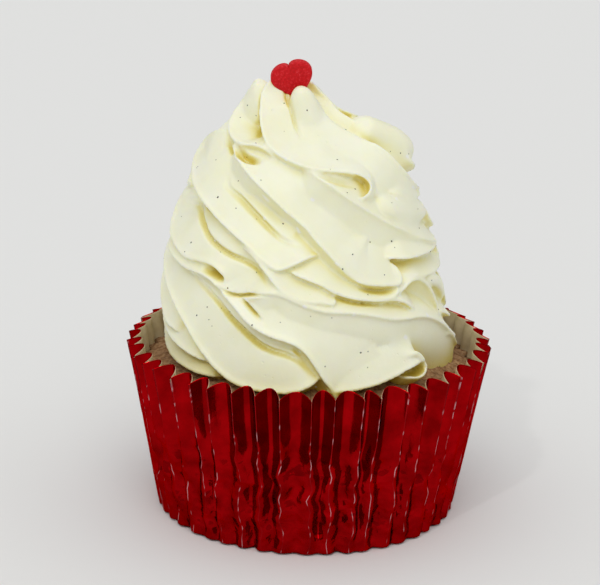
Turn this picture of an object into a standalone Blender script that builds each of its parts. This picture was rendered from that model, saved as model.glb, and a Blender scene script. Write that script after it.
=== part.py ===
"""A cupcake in its pleated red foil case, with a tall piped swirl of vanilla icing and a sugar heart.

Run it with blender --background --python part.py, or from Blender's text editor. Units are metres,
+Z is up, the front faces -Y, and the origin is the centre of the case's underside.
"""

import math

import bmesh
import bpy
import numpy as np
from mathutils import Matrix, Vector

MM = 0.001
GAP = 0.3 * MM  # left between pieces that touch

# Foil case
CASE_HEIGHT = 33.0 * MM
BASE_RADIUS = 28.0 * MM
RIM_RADIUS = 34.0 * MM
CASE_WALL = 0.4 * MM
PLEATS = 46
PLEAT_DEPTH_BASE = 0.4 * MM
PLEAT_DEPTH_RIM = 2.9 * MM
PLEAT_TIP_DROP = 1.1 * MM  # the outward folds end this much below the inward ones
PLEAT_WANDER = 0.012  # radians that a pleat strays from even spacing
POINTS_PER_PLEAT = 4
WALL_LEVELS = (0.0, 0.1, 0.5, 1.0)  # heights of the wall's rings, as a share of CASE_HEIGHT

# Cake
CAKE_EDGE_HEIGHT = 27.5 * MM
CROWN_RISE = 5.0 * MM
CROWN_POWER = 3
CROWN_STEPS = 6
CAKE_SIDES = 72

# Icing swirl: height, lean to the right and radius that the crests of the folds reach
SWIRL_OUTLINE = np.array([
    (26.0, 0.9, 27.4), (29.0, 0.9, 27.7), (35.0, -0.2, 27.0), (41.0, -1.4, 26.5), (47.5, -1.6, 25.6),
    (53.5, -1.7, 24.6), (57.0, -1.9, 23.2), (61.0, -1.7, 21.6), (65.0, -1.7, 20.6), (68.0, -1.7, 19.4),
    (70.8, -1.9, 17.0), (73.0, -3.0, 13.6), (76.0, -4.6, 9.3), (81.0, -5.7, 5.1), (84.0, -5.9, 3.8),
])
CORE_FOOT = 26.5  # millimetres, as all lengths in the swirl's own tables are
CORE_TOP = 78.0
CORE_DEPTH = 5.2
CORE_RINGS = 40
CORE_SIDES = 72
CORE_LEAST = 0.8  # radius of the core at its tip
FACING_REACH = 1.5  # how far up and down the outline's slope is taken over
FOLD_TIP = 0.55  # radius of a fold's crest, unless the fold says otherwise
FOLD_ROOT = 3.5  # how far a fold's root reaches into the core
FOLD_END = 1.4  # length of a fold's rounded ends
FOLD_LEAST = 0.15  # share of a fold's width that is left at its very end
END_DROP = 1.5  # how far the very end of a fold falls
SINK_RUN = 5.0
FOLD_LEAN = 1.0
TAPER_LEAST = 0.35
BEND_ROOM = 0.85  # share of a bend's radius that a fold may fill on its inner side
STEPS_ALONG = 140
STEPS_ACROSS = 9
STEPS_IN_TIP = 4
STEPS_IN_SPAN = 24  # points that a smooth course takes between two stations
SMOOTHING_OF_WIDTHS = 6  # steps along a fold
SWIRL_VOXEL = 0.6 * MM
SWIRL_SMOOTHING = 2
SWIRL_KEPT_FACES = 0.05  # share of the remeshed faces that Decimate keeps

# Each fold of icing: its crest as (degrees round from the front, height), then the widths of its broad
# face and of its narrow flank from start to end, and how deep the two fall. After that, where it
# differs: "sink" of its two ends, "full" for how the depths grow across face and flank (1 straight,
# more is rounder), "tip" for the radius of its crest, "proud" of the outline, "taper" where the face
# narrows at the end, and "corner" where the crest turns round the cut end of its ribbon.
ROUND_FACE = (1.45, 0.9)
ROUND_FLANK = (1.2, 1.8)
ROUND = (1.8, 1.8)
FOLDS = {
    "crown_left": dict(
        crest=((-97, 81.6), (-98, 79.4), (-95, 76.6), (-84, 74.9), (-70, 73.4), (-54, 72.3),
               (-43, 71.9), (-33, 72.1), (-24, 71.9), (-17, 71.2)),
        face=(4, 6), flank=(3, 2), deep=(4.5, 4.5), sink=(0, 1), full=ROUND_FACE),
    "crown_middle": dict(
        crest=((-25, 82.4), (-41, 80), (-38, 78), (-34, 76.3), (-29, 74.6), (-24, 72.9), (-17, 71.6),
               (-9, 70.7), (-1, 69.9), (7, 69.3), (15, 69), (23, 68.7), (29, 68.2)),
        face=(4, 9), flank=(2, 2), deep=(3.4, 5.5), sink=(0, 0), full=(1.2, 0.8), taper=9),
    "crown_curl": dict(
        crest=((19, 68.9), (25, 68.6), (30, 68.1), (34, 67.3), (36, 66.2), (34.5, 64.9), (30.5, 64.2),
               (26, 64.5)),
        face=(3.5, 1.2), flank=(0.8, 0.8), deep=(3, 3), sink=(0, 1.2), tip=0.32, proud=0.1),
    "crown_right": dict(
        crest=((40, 80.4), (50, 78.7), (48, 76.8), (48, 75.3), (51, 74), (54, 72.8), (58, 71),
               (61, 69), (66, 66.6), (74, 64), (90, 61.2)),
        face=(3.5, 4), flank=(7, 9), deep=(4.5, 3.4), sink=(0, 0), full=(0.9, 1.4)),
    "crown_right_end": dict(
        crest=((50, 64.7), (57, 62.9), (65, 61.8), (75, 61.2), (88, 60.8)),
        face=(6, 5), flank=(2, 2), deep=(4, 4.5), sink=(2, 0), full=ROUND_FACE),
    "crown_far": dict(
        crest=((100, 81), (85, 78.3), (77, 76), (76, 74.4), (80, 73)),
        face=(4, 4), flank=(4, 4), deep=(4.5, 4.5), sink=(0, 1), full=ROUND),
    "crown_back": dict(
        crest=((68, 74.6), (79, 73), (88, 71), (91, 68.8), (87, 66.8)),
        face=(6, 6), flank=(6, 6), deep=(6, 6), sink=(1, 1), full=ROUND, tip=4.0, proud=1.8),
    "shoulder_far": dict(
        crest=((38, 62.8), (48, 61.2), (60, 59.8), (74, 58.8), (90, 58)),
        face=(4, 4), flank=(4, 4), deep=(5, 5), sink=(2, 0), full=ROUND, tip=2.6),
    "shoulder_left": dict(
        crest=((-70, 73.3), (-86, 71.7), (-97, 69.4), (-95, 67), (-86, 65.2), (-72, 63.2), (-60, 61.7),
               (-50, 60.5), (-41, 59.2), (-32, 57.7), (-24, 56.1), (-17, 54.2), (-12.5, 53),
               (-10, 52.6), (-7, 52.9), (-2, 53.9), (4, 55), (10, 55.6)),
        face=(6, 8), flank=(4, 2.5), deep=(4.5, 4.8), sink=(1, 3), full=ROUND_FACE, corner=True),
    "shoulder_long": dict(
        crest=((-55, 72), (-45, 70.4), (-37, 69.1), (-30, 67.8), (-22, 66), (-15, 64.3), (-9, 62.6),
               (-3, 61), (2, 59.6), (7, 57.5), (12, 55.3), (16, 53.3), (20.5, 51.3), (26, 49.9),
               (33, 49.2), (39, 48.8), (43, 48.6), (44.8, 49), (45, 50.2), (44, 51.8), (41.5, 53)),
        face=(6, 8), flank=(3, 2.5), deep=(4.5, 4.8), sink=(1, 2.5), full=ROUND_FACE, corner=True),
    "shoulder_right": dict(
        crest=((0, 69.8), (9, 67.8), (16, 66.1), (22, 64.5), (29, 62.7), (36, 61), (44, 59.1),
               (53, 57.3), (64, 55.2), (76, 53.1), (88, 51.6)),
        face=(6, 6), flank=(7, 8), deep=(4.5, 4.5), full=(1.3, 1.2)),
    "shoulder_right_end": dict(
        crest=((40, 53.8), (48, 52.9), (58, 52.4), (70, 52), (86, 51.4)),
        face=(5, 5), flank=(1.5, 2), deep=(4, 4.5), sink=(2, 0), full=ROUND_FACE),
    "waist_far": dict(
        crest=((46, 50.2), (53, 49.3), (61, 48.5), (72, 48), (84, 47.8), (96, 47.6)),
        face=(5, 5), flank=(2, 3), deep=(4.5, 5), sink=(2, 0)),
    "waist_lip": dict(
        crest=((-6, 52.6), (-2, 51.8), (3, 51), (8, 50.1), (14, 48.6), (21, 47.5), (28, 46.8),
               (34, 46.4), (40, 46.6), (44.5, 48)),
        face=(4, 5), flank=(2, 2.5), deep=(4, 5)),
    "waist_right": dict(
        crest=((41, 45.8), (46, 47.5), (51, 48.5), (56, 48.3), (61, 47.1), (65, 45.4), (68, 43.4),
               (71, 41), (73, 39)),
        face=(4, 5), flank=(5, 6), deep=(4.5, 4.5), sink=(1, 1)),
    "waist_right_end": dict(
        crest=((62, 48), (70, 46.6), (79, 44.8), (87, 42.6), (92, 39.8)),
        face=(4, 4), flank=(5, 5), deep=(4.5, 4.5), sink=(1, 1), full=ROUND_FLANK, tip=1.5),
    "waist_small": dict(
        crest=((33, 46.1), (40, 46), (45, 45.3), (49, 44.1), (54, 42.6)),
        face=(3, 3), flank=(2.5, 2.5), deep=(4, 4), sink=(1, 1)),
    "waist_left": dict(
        crest=((-104, 60), (-96, 58.2), (-91, 55.8), (-82, 53.6), (-71, 52.4), (-62, 51.6),
               (-55, 51.4), (-48, 51.7), (-42, 51.8), (-37, 51.2), (-34, 50), (-33.3, 48.2)),
        face=(6, 8), flank=(3.4, 2.4), deep=(4.5, 5), sink=(1, 1), full=ROUND_FACE),
    "waist_leaf": dict(
        crest=((-28, 56.2), (-21, 54.6), (-16.5, 52.8), (-12.5, 50.9), (-9, 49.3), (-4.5, 48),
               (0, 47.4), (5, 47.1), (10, 46.9), (12.8, 46.6), (13.6, 47.2), (13, 48.2), (10.5, 49.4)),
        face=(4, 5), flank=(3, 2), deep=(4, 4.6), sink=(1, 2), full=ROUND_FACE, corner=True),
    "skirt_front": dict(
        crest=((-90, 52.2), (-77, 50.7), (-66, 50), (-56, 49.5), (-49, 49.6), (-43, 49.4), (-39, 48.8),
               (-35, 47.8), (-31, 46.4), (-26, 44.6), (-22, 43), (-17, 41.7), (-12, 40.8), (-7, 40.2),
               (-3, 39.5), (0.5, 38.1), (3, 35.9), (5.5, 33.3), (8, 31.3), (9, 29.5)),
        face=(6, 10), flank=(3.6, 3.8), deep=(3.8, 5), full=ROUND_FACE),
    "skirt_left": dict(
        crest=((-90, 52), (-87, 49.2), (-84, 47), (-79, 45.5), (-72, 44.3), (-65, 42.9), (-59, 41.4),
               (-54, 39.6), (-47.5, 36.5), (-42, 34.2), (-37, 32.6), (-31, 31.3), (-24, 30.7),
               (-16, 30.6), (-9, 30.8), (-3, 31.2)),
        face=(6, 11), flank=(3.6, 3), deep=(4.2, 5), sink=(1, 3.4), full=ROUND_FACE, corner=True),
    "skirt_far_left": dict(
        crest=((-92, 46.6), (-93, 43.8), (-89, 41.6), (-86, 39.8), (-81, 38), (-73, 36.9), (-64, 36.4)),
        face=(4, 5), flank=(4, 3), deep=(4.5, 5), sink=(1, 1), full=ROUND_FACE),
    "skirt_low": dict(
        crest=((-104, 40), (-92, 37.4), (-80, 35.7), (-70, 34.8), (-60, 34.3), (-50, 33.9), (-42, 33.6)),
        face=(4, 5), flank=(2, 2), deep=(4.5, 4.5), sink=(1, 1), full=ROUND_FACE),
    "skirt_lowest": dict(
        crest=((-106, 36), (-92, 33.4), (-80, 31.9), (-70, 31.2), (-60, 31), (-50, 31), (-40, 31.2)),
        face=(4, 4), flank=(3, 3), deep=(4, 4), sink=(1, 1), full=ROUND_FACE),
    "skirt_right": dict(
        crest=((-24, 46.4), (-18, 47.6), (-11, 48.4), (-4, 47.5), (3, 46.2), (10, 45.4), (17, 45.1),
               (23, 44.7), (30, 43.9), (38, 42.8), (46, 42.2), (53, 41.8), (60, 40.9), (67, 39.4),
               (74, 37.4), (82, 34.6), (91, 31)),
        face=(5, 6), flank=(9, 12), deep=(5, 5), full=(1.2, 2.2)),
    "skirt_tip": dict(
        crest=((6, 31), (13, 31.2), (20, 31.5), (26, 31.9), (31, 32.4), (36, 32.9), (41, 33.4),
               (45.5, 33.8), (49.5, 33.9)),
        face=(6, 5), flank=(2.5, 1.5), deep=(3, 4.5), sink=(0, 0), full=ROUND_FACE),
    "skirt_tip_curl": dict(
        crest=((49.5, 34), (50.6, 33), (49, 31.9), (45.5, 31.5), (42, 31.8), (38, 32.4)),
        face=(1.2, 1.2), flank=(1.2, 1.2), deep=(4, 4), sink=(0, 1.5), tip=0.32),
    "skirt_tip_end": dict(
        crest=((50.4, 33.2), (49.4, 34.6), (47.6, 35.7), (45, 36.3), (41.5, 36.3), (37, 35.7)),
        face=(4, 4), flank=(1.5, 2), deep=(3, 4.5), sink=(0, 2), full=ROUND_FACE, corner=True),
}
FRONT_ONLY = ("skirt_tip", "skirt_tip_end", "skirt_tip_curl", "crown_curl", "crown_back")

# A bud of icing pressed up against the heart: its middle and its half sizes, millimetres.
BUD_MIDDLE = (-0.9, -3.6, 76.6)
BUD_SIZE = (3.1, 3.0, 4.8)
BACK_TURN = 180  # the back has the same folds again, turned half way round

# Sugar heart
HEART_WIDTH = 7.6 * MM
HEART_TALL = 1.12  # stretch of the heart curve's height
HEART_THICKNESS = 2.0 * MM
HEART_BEVEL = 0.3 * MM
HEART_POINTS = 32
HEART_CENTRE = Vector((-4.1, -3.46, 82.0)) * MM
HEART_TURN = math.radians(-13)
HEART_TIP_BACK = math.radians(8)


def clear_scene():
    for obj in list(bpy.data.objects):
        bpy.data.objects.remove(obj, do_unlink=True)


def make_collection(name):
    collection = bpy.data.collections.new(name)
    bpy.context.scene.collection.children.link(collection)
    return collection


def make_material(name, colour, roughness, metallic=0.0):
    material = bpy.data.materials.new(name)
    material.use_nodes = True
    shader = material.node_tree.nodes["Principled BSDF"]
    shader.inputs["Base Color"].default_value = (*colour, 1.0)
    shader.inputs["Roughness"].default_value = roughness
    shader.inputs["Metallic"].default_value = metallic
    material.diffuse_color = (*colour, 1.0)
    return material


def add_object(name, mesh, collection, material=None):
    obj = bpy.data.objects.new(name, mesh)
    collection.objects.link(obj)
    if material:
        mesh.materials.append(material)
    return obj


def make_cutter(obj):
    obj.hide_render = True
    obj.display_type = "WIRE"


def cut(obj, cutter, name):
    boolean = obj.modifiers.new(name, "BOOLEAN")
    boolean.operation = "DIFFERENCE"
    boolean.object = cutter


def loft(name, rings):
    """A closed mesh through rings of equally many points, capped at both ends and facing out."""
    count, sides = rings.shape[:2]
    index = np.arange(count * sides).reshape(count, sides)
    following = np.roll(index, -1, axis=1)
    quads = np.stack((index[:-1], following[:-1], following[1:], index[1:]), axis=-1).reshape(-1, 4)
    faces = [*quads.tolist(), index[0, ::-1].tolist(), index[-1].tolist()]
    mesh = bpy.data.meshes.new(name)
    mesh.from_pydata(rings.reshape(-1, 3).tolist(), [], faces)
    shape = bmesh.new()
    shape.from_mesh(mesh)
    bmesh.ops.recalc_face_normals(shape, faces=shape.faces[:])
    shape.to_mesh(mesh)
    shape.free()
    return mesh


def turned(name, profile, collection, material=None):
    """A profile of (radius, height) points, from the top down its outer side, turned about Z."""
    mesh = bpy.data.meshes.new(name)
    points = [(radius, 0.0, height) for radius, height in profile]
    mesh.from_pydata(points, [(i, i + 1) for i in range(len(points) - 1)], [])
    obj = add_object(name, mesh, collection, material)
    screw = obj.modifiers.new("Turn", "SCREW")
    screw.steps = CAKE_SIDES
    screw.render_steps = CAKE_SIDES
    screw.use_merge_vertices = True
    screw.merge_threshold = 0.01 * MM
    return obj


# Foil case -----------------------------------------------------------------------------------


def pleat_depth(share):
    return PLEAT_DEPTH_BASE + (PLEAT_DEPTH_RIM - PLEAT_DEPTH_BASE) * share**0.8


def fold_radius(share):
    """Radius of the outward folds at a share of the case's height."""
    return BASE_RADIUS + (RIM_RADIUS - BASE_RADIUS) * share


def case_ring(share, inset, height):
    """One ring of the pleated wall. The pleats' spacing wanders alike on opposite sides."""
    turn = 2 * math.pi * np.arange(PLEATS * POINTS_PER_PLEAT) / (PLEATS * POINTS_PER_PLEAT)
    outward = 0.5 + 0.5 * np.cos(PLEATS * turn)
    around = turn + PLEAT_WANDER * (np.sin(6 * turn + 1.0) + np.sin(14 * turn + 2.5))
    radius = fold_radius(share) - pleat_depth(share) * (1 - outward) - inset
    drop = PLEAT_TIP_DROP * outward * share
    return np.stack((radius * np.sin(around), -radius * np.cos(around), height - drop), axis=-1)


def radial_wall(share):
    """The wall's thickness along a radius, so that the slanted sides of a pleat keep CASE_WALL."""
    half_pitch = math.pi * fold_radius(share) / PLEATS
    return CASE_WALL * math.hypot(1.0, pleat_depth(share) / half_pitch)


def build_case(collection, material):
    outside = [case_ring(share, 0.0, CASE_HEIGHT * share) for share in WALL_LEVELS]
    inside = [
        case_ring(share, radial_wall(share), max(CASE_HEIGHT * share, CASE_WALL))
        for share in reversed(WALL_LEVELS)
    ]
    mesh = loft("foil_case", np.array(outside + inside))
    return add_object("foil_case", mesh, collection, material)


# Cake ----------------------------------------------------------------------------------------


def inner_radius(share):
    """Radius inside the inward folds of the case."""
    return fold_radius(share) - pleat_depth(share) - radial_wall(share)


def crown_height(radius):
    edge = inner_radius(CAKE_EDGE_HEIGHT / CASE_HEIGHT) - GAP
    return CAKE_EDGE_HEIGHT + CROWN_RISE * (1 - (radius / edge) ** CROWN_POWER)


def crown_profile(outer, lift):
    radii = [outer * step / CROWN_STEPS for step in range(CROWN_STEPS + 1)]
    return [(radius, crown_height(radius) + lift) for radius in radii]


def build_cake(collection, material):
    edge = inner_radius(CAKE_EDGE_HEIGHT / CASE_HEIGHT) - GAP
    floor = CASE_WALL + GAP
    profile = crown_profile(edge, 0.0)
    middle = 0.5 * (CAKE_EDGE_HEIGHT + floor)
    profile.append((inner_radius(middle / CASE_HEIGHT) - GAP, middle))
    profile.append((inner_radius(floor / CASE_HEIGHT) - GAP, floor))
    profile.append((0.0, floor))
    return turned("cake", profile, collection, material)


def build_crown_cutter(collection):
    """The cake's crown with the gap above it, which the icing's underside follows."""
    outer = RIM_RADIUS
    profile = crown_profile(outer, GAP)
    profile.append((outer, 0.5 * CAKE_EDGE_HEIGHT))
    profile.append((0.0, 0.5 * CAKE_EDGE_HEIGHT))
    cutter = turned("crown_cutter", profile, collection)
    make_cutter(cutter)
    return cutter


# Icing swirl (its tables are in millimetres and degrees) --------------------------------------


def swirl_outline(height):
    levels, leans, radii = SWIRL_OUTLINE.T
    return np.interp(height, levels, leans), np.interp(height, levels, radii)


def on_swirl(turn, height):
    """The points of the swirl's outline at these turns (radians) and heights."""
    lean, radius = swirl_outline(height)
    return np.stack((lean + radius * np.sin(turn), -radius * np.cos(turn), height), axis=-1)


def facing(turn, height):
    """The direction in which the swirl's outline faces: level on its sides, rising over its shoulder."""
    below, above = height - FACING_REACH, height + FACING_REACH
    slope = (swirl_outline(below)[1] - swirl_outline(above)[1]) / (2 * FACING_REACH)
    lift = np.clip(np.arctan(slope), -0.2, 0.95)
    return np.stack((np.cos(lift) * np.sin(turn), -np.cos(lift) * np.cos(turn), np.sin(lift)), axis=-1)


def between(at, low, high, first, last):
    """A straight blend from first, where at is low, to last, where at is high."""
    return ((high - at) * first + (at - low) * last) / (high - low)


def smooth_course(stations, count):
    """Evenly spaced points on a centripetal Catmull-Rom curve through the stations."""
    points = np.vstack((2 * stations[0] - stations[1], stations, 2 * stations[-1] - stations[-2]))
    knots = np.r_[0, np.cumsum(np.linalg.norm(np.diff(points, axis=0), axis=1) ** 0.5)]
    pieces = []
    for i in range(1, len(points) - 2):
        before, low, high, after = knots[i - 1 : i + 3]
        at = np.linspace(low, high, STEPS_IN_SPAN)[:, None]
        first = between(at, before, low, points[i - 1], points[i])
        second = between(at, low, high, points[i], points[i + 1])
        third = between(at, high, after, points[i + 1], points[i + 2])
        early = between(at, before, high, first, second)
        late = between(at, low, after, second, third)
        pieces.append(between(at, low, high, early, late))
    curve = np.vstack(pieces)
    travelled = np.r_[0, np.cumsum(np.linalg.norm(np.diff(curve, axis=0), axis=1))]
    even = np.linspace(0, travelled[-1], count)
    return np.stack([np.interp(even, travelled, column) for column in curve.T], axis=1)


def unit(vectors):
    return vectors / np.linalg.norm(vectors, axis=-1, keepdims=True)


def smoothed(values, reach):
    padded = np.pad(values, reach, mode="edge")
    return np.convolve(padded, np.ones(2 * reach + 1) / (2 * reach + 1), "valid")


def wedge_side(width, height, power, tip, root):
    """One side of a fold's cross-section from its crest to its root, at every place along it: a quarter
    circle, then depth = the rest of the height x (share of the width) ** power, then straight down.
    Returns the ways out and the depths."""
    bend = np.linspace(0, math.pi / 2, STEPS_IN_TIP)[None, :]
    share = np.linspace(0, 1, STEPS_ACROSS)[None, 1:]
    span = np.maximum(width - tip, 0.3)
    out = np.concatenate((tip * np.sin(bend) + 0 * width, tip + share * span, tip + span), axis=1)
    fallen = tip + (height - tip) * share**power + 0 * width
    depth = np.concatenate((tip * (1 - np.cos(bend)) + 0 * width, fallen, 0 * width + root), axis=1)
    return out, depth


def fold_frame(fold, back):
    """Places along a fold's crest: the crest, outward and across directions, share and bend."""
    course = np.array(fold["crest"], float)
    turn = np.radians(course[:, 0] + back)
    level = course[:, 1]
    smooth = smooth_course(np.column_stack((on_swirl(turn, level), turn, level)), STEPS_ALONG)
    outward = facing(smooth[:, 3], smooth[:, 4])
    crest = smooth[:, :3] + fold.get("proud", 0) * outward
    along = unit(np.gradient(crest, axis=0))
    outward = unit(outward - np.sum(outward * along, axis=1, keepdims=True) * along)
    across = np.cross(outward, along)
    length = np.linalg.norm(np.diff(crest, axis=0), axis=1).sum()
    bend = np.sum(np.gradient(along, axis=0) * across, axis=1) * (STEPS_ALONG - 1) / length
    return crest, outward, across, length, smoothed(bend, SMOOTHING_OF_WIDTHS)


def fold_widths(fold, key, side, share, length, bend):
    """How wide a fold's face or flank is along it: never more than there is room for in a bend."""
    start, end = fold[key]
    width = start + (end - start) * share
    if side > 0 and "taper" in fold:
        to_end = np.clip((1 - share) * length / fold["taper"], 0, 1)
        width = width * (TAPER_LEAST + (1 - TAPER_LEAST) * to_end * to_end * (3 - 2 * to_end))
    if side < 0 or "corner" not in fold:
        width = np.minimum(width, BEND_ROOM / np.maximum(side * bend, 1e-3))
    return smoothed(width, SMOOTHING_OF_WIDTHS)[:, None]


def fold_rings(fold, back):
    """Rings of one fold along its crest. Each ring is a wedge, wider on the face's side than on the
    flank's, leaning over the flank, and the fold's ends are rounded and sunk."""
    crest, outward, across, length, bend = fold_frame(fold, back)
    share = np.linspace(0, 1, STEPS_ALONG)
    tip = fold.get("tip", FOLD_TIP)
    full = fold.get("full", (1.1, 0.9))
    height = max(fold["deep"])
    face = fold_widths(fold, "face", 1, share, length, bend)
    flank = fold_widths(fold, "flank", -1, share, length, bend)
    right, fall_right = wedge_side(face, fold["deep"][0], full[0], tip, height + FOLD_ROOT)
    left, fall_left = wedge_side(flank, fold["deep"][1], full[1], tip, height + FOLD_ROOT)
    sideways = np.concatenate((-left[:, ::-1], right[:, 1:]), axis=1)
    depth = np.concatenate((fall_left[:, ::-1], fall_right[:, 1:]), axis=1)
    sideways = sideways + FOLD_LEAN * (1 - np.clip(1 - depth / height, 0, 1) ** 2)
    from_end = np.minimum(1, np.minimum(share, 1 - share) * length / max(FOLD_END, tip))
    rounding = np.sqrt(1 - (1 - from_end) ** 2)[:, None]
    sideways = sideways * (FOLD_LEAST + (1 - FOLD_LEAST) * rounding)
    for amount, distance in zip(fold.get("sink", (1, 0)), (share, 1 - share)):
        depth = depth + (amount * np.clip(1 - distance * length / SINK_RUN, 0, 1) ** 2)[:, None]
    depth = depth + max(END_DROP, tip) * (1 - rounding)
    return crest[:, None] + across[:, None] * sideways[..., None] - outward[:, None] * depth[..., None]


def bud_rings():
    """An egg of icing as level rings from its foot to its top."""
    rise = np.linspace(-math.pi / 2, math.pi / 2, 14)[1:-1, None]
    turn = np.linspace(0, 2 * math.pi, 24, endpoint=False)[None, :]
    out = np.cos(rise)
    egg = np.stack((out * np.sin(turn), -out * np.cos(turn), np.sin(rise) + 0 * turn), axis=-1)
    return np.array(BUD_MIDDLE) + egg * BUD_SIZE


def core_rings():
    height = np.linspace(CORE_FOOT, CORE_TOP, CORE_RINGS)[:, None]
    turn = np.linspace(0, 2 * math.pi, CORE_SIDES, endpoint=False)[None, :]
    lean, radius = swirl_outline(height)
    radius = np.maximum(radius - CORE_DEPTH, CORE_LEAST)
    return np.stack((lean + radius * np.sin(turn), -radius * np.cos(turn), height + 0 * turn), axis=-1)


def build_frosting(collection, material, cutters):
    """Every fold and the core, remeshed into one body, then cut to the crown and to the heart."""
    shape = bmesh.new()
    shells = [core_rings(), bud_rings()]
    for name, fold in FOLDS.items():
        shells.append(fold_rings(fold, 0))
        if name not in FRONT_ONLY:
            shells.append(fold_rings(fold, BACK_TURN))
    for number, rings in enumerate(shells):
        shell = loft(f"shell_{number}", rings * MM)
        shape.from_mesh(shell)
        bpy.data.meshes.remove(shell)
    mesh = bpy.data.meshes.new("frosting")
    shape.to_mesh(mesh)
    shape.free()
    frosting = add_object("frosting", mesh, collection, material)
    remesh = frosting.modifiers.new("Join", "REMESH")
    remesh.mode = "VOXEL"
    remesh.voxel_size = SWIRL_VOXEL
    smooth = frosting.modifiers.new("Soften", "SMOOTH")
    smooth.iterations = SWIRL_SMOOTHING
    decimate = frosting.modifiers.new("Thin", "DECIMATE")
    decimate.ratio = SWIRL_KEPT_FACES
    for cutter in cutters:
        cut(frosting, cutter, f"Clear {cutter.name}")
    return frosting


# Sugar heart ---------------------------------------------------------------------------------


def heart_outline(width):
    """A heart curve, 16 sin cubed across and four cosines up, at the given width."""
    turn = np.linspace(0, 2 * math.pi, HEART_POINTS, endpoint=False)
    across = 16 * np.sin(turn) ** 3
    up = 13 * np.cos(turn) - 3 * np.cos(2 * turn) - 1.2 * np.cos(3 * turn) - 0.5 * np.cos(4 * turn) + 1.5
    return np.stack((across, np.zeros_like(up), up * HEART_TALL), axis=-1) * width / 32


def heart_object(name, width, thickness, bevel, collection, material=None):
    mesh = bpy.data.meshes.new(name)
    outline = heart_outline(width)
    mesh.from_pydata(outline.tolist(), [], [list(range(HEART_POINTS))])
    obj = add_object(name, mesh, collection, material)
    obj.matrix_world = (
        Matrix.Translation(HEART_CENTRE)
        @ Matrix.Rotation(-HEART_TIP_BACK, 4, "X")
        @ Matrix.Rotation(HEART_TURN, 4, "Y")
    )
    solidify = obj.modifiers.new("Thickness", "SOLIDIFY")
    solidify.thickness = thickness
    solidify.offset = 0.0
    if bevel:
        edges = obj.modifiers.new("Edges", "BEVEL")
        edges.width = bevel
        edges.segments = 1
        edges.limit_method = "ANGLE"
        edges.angle_limit = math.radians(60)
    return obj


def build():
    clear_scene()
    parts = make_collection("cupcake")
    helpers = make_collection("cutters")
    foil = make_material("red_foil", (0.38, 0.004, 0.008), 0.28, 0.75)
    crumb = make_material("cake_crumb", (0.22, 0.11, 0.055), 0.9)
    icing = make_material("vanilla_icing", (0.87, 0.85, 0.70), 0.42)
    sugar = make_material("sugar_heart", (0.55, 0.008, 0.018), 0.7)
    crown_cutter = build_crown_cutter(helpers)
    heart_cutter = heart_object(
        "heart_cutter", HEART_WIDTH + 2 * GAP, HEART_THICKNESS + 2 * GAP, 0.0, helpers
    )
    make_cutter(heart_cutter)
    build_case(parts, foil)
    build_cake(parts, crumb)
    build_frosting(parts, icing, (crown_cutter, heart_cutter))
    heart_object("heart", HEART_WIDTH, HEART_THICKNESS, HEART_BEVEL, parts, sugar)


build()
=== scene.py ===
"""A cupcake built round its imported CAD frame: a pleated red foil case lined with baking paper, a brown
cake, a piped swirl of vanilla icing with flecks of vanilla seed, and a red sugar heart at its tip.
Metres, +Z up, the front faces -Y. Turns round the cake are degrees from the front, to the right."""

import math

import bmesh
import bpy
import numpy as np
from mathutils import Matrix, Vector


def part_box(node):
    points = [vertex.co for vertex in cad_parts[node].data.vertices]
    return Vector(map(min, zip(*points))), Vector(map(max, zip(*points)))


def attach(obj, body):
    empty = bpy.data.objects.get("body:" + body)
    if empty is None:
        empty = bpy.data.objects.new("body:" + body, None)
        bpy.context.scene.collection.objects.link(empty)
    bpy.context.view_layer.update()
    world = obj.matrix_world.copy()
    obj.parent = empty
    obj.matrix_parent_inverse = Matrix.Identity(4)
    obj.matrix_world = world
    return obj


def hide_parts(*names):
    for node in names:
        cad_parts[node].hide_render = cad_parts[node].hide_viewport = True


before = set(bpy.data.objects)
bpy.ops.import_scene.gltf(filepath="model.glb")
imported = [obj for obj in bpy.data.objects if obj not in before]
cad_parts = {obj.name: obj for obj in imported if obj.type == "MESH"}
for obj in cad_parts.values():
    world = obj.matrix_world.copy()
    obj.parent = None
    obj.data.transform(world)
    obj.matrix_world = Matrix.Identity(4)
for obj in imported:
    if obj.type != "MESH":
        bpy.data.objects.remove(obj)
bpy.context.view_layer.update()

MM = 0.001
BODY = "root"
CLOUD_LATTICE = 32

# -------- sizes that the frame gives
case_low, case_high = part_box("foil_case")
CAKE_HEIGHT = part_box("cake")[1].z
heart_low, heart_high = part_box("heart")
RIM_RADIUS = (case_high.y - case_low.y) / 2
CASE_HEIGHT = case_high.z
# a base 56 mm across under a rim of 68 mm
BASE_RADIUS = RIM_RADIUS * 28 / 34

# -------- the case
PLEATS = 46
# places across one pleat, from its crease to the next crease
ACROSS = np.array([0, 0.02, 0.07, 0.15, 0.25, 0.37, 0.5, 0.63, 0.75, 0.85, 0.93, 0.98])
WALL_ROWS = 100
# power of the rows' shares of the height: they lie a little closer together towards the rim
ROW_SPACING = 0.95
CASE_SEED = 4
# most that a crease strays to either side, as a share of a pleat
CREASE_SPREAD = 0.16
PLEAT_DEPTH_BASE = 1.5 * MM
PLEAT_DEPTH_RIM = 2.9 * MM
PLEAT_DEPTH_POWER = 0.8
PLEAT_DEPTH_LIMITS = (0.15, 1.2)
# how far the rim falls back at the pleats' tips, and at most, at random, over each pleat
PLEAT_TIP_DROP = 1.1 * MM
RIM_DROP = 0.5 * MM
RIM_DROP_POWER = 6
# how narrow the pleats' channels are at shares of the height: wide and round at the rim, slits below
CHANNEL_KNOTS = (0, 0.3, 0.6, 0.85, 1)
CHANNEL_POWERS = (3.2, 2.6, 1.3, 0.75, 0.7)
FOIL_THICKNESS = 0.07 * MM
PAPER_THICKNESS = 0.09 * MM
LAYER_GAP = 0.01 * MM
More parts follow.
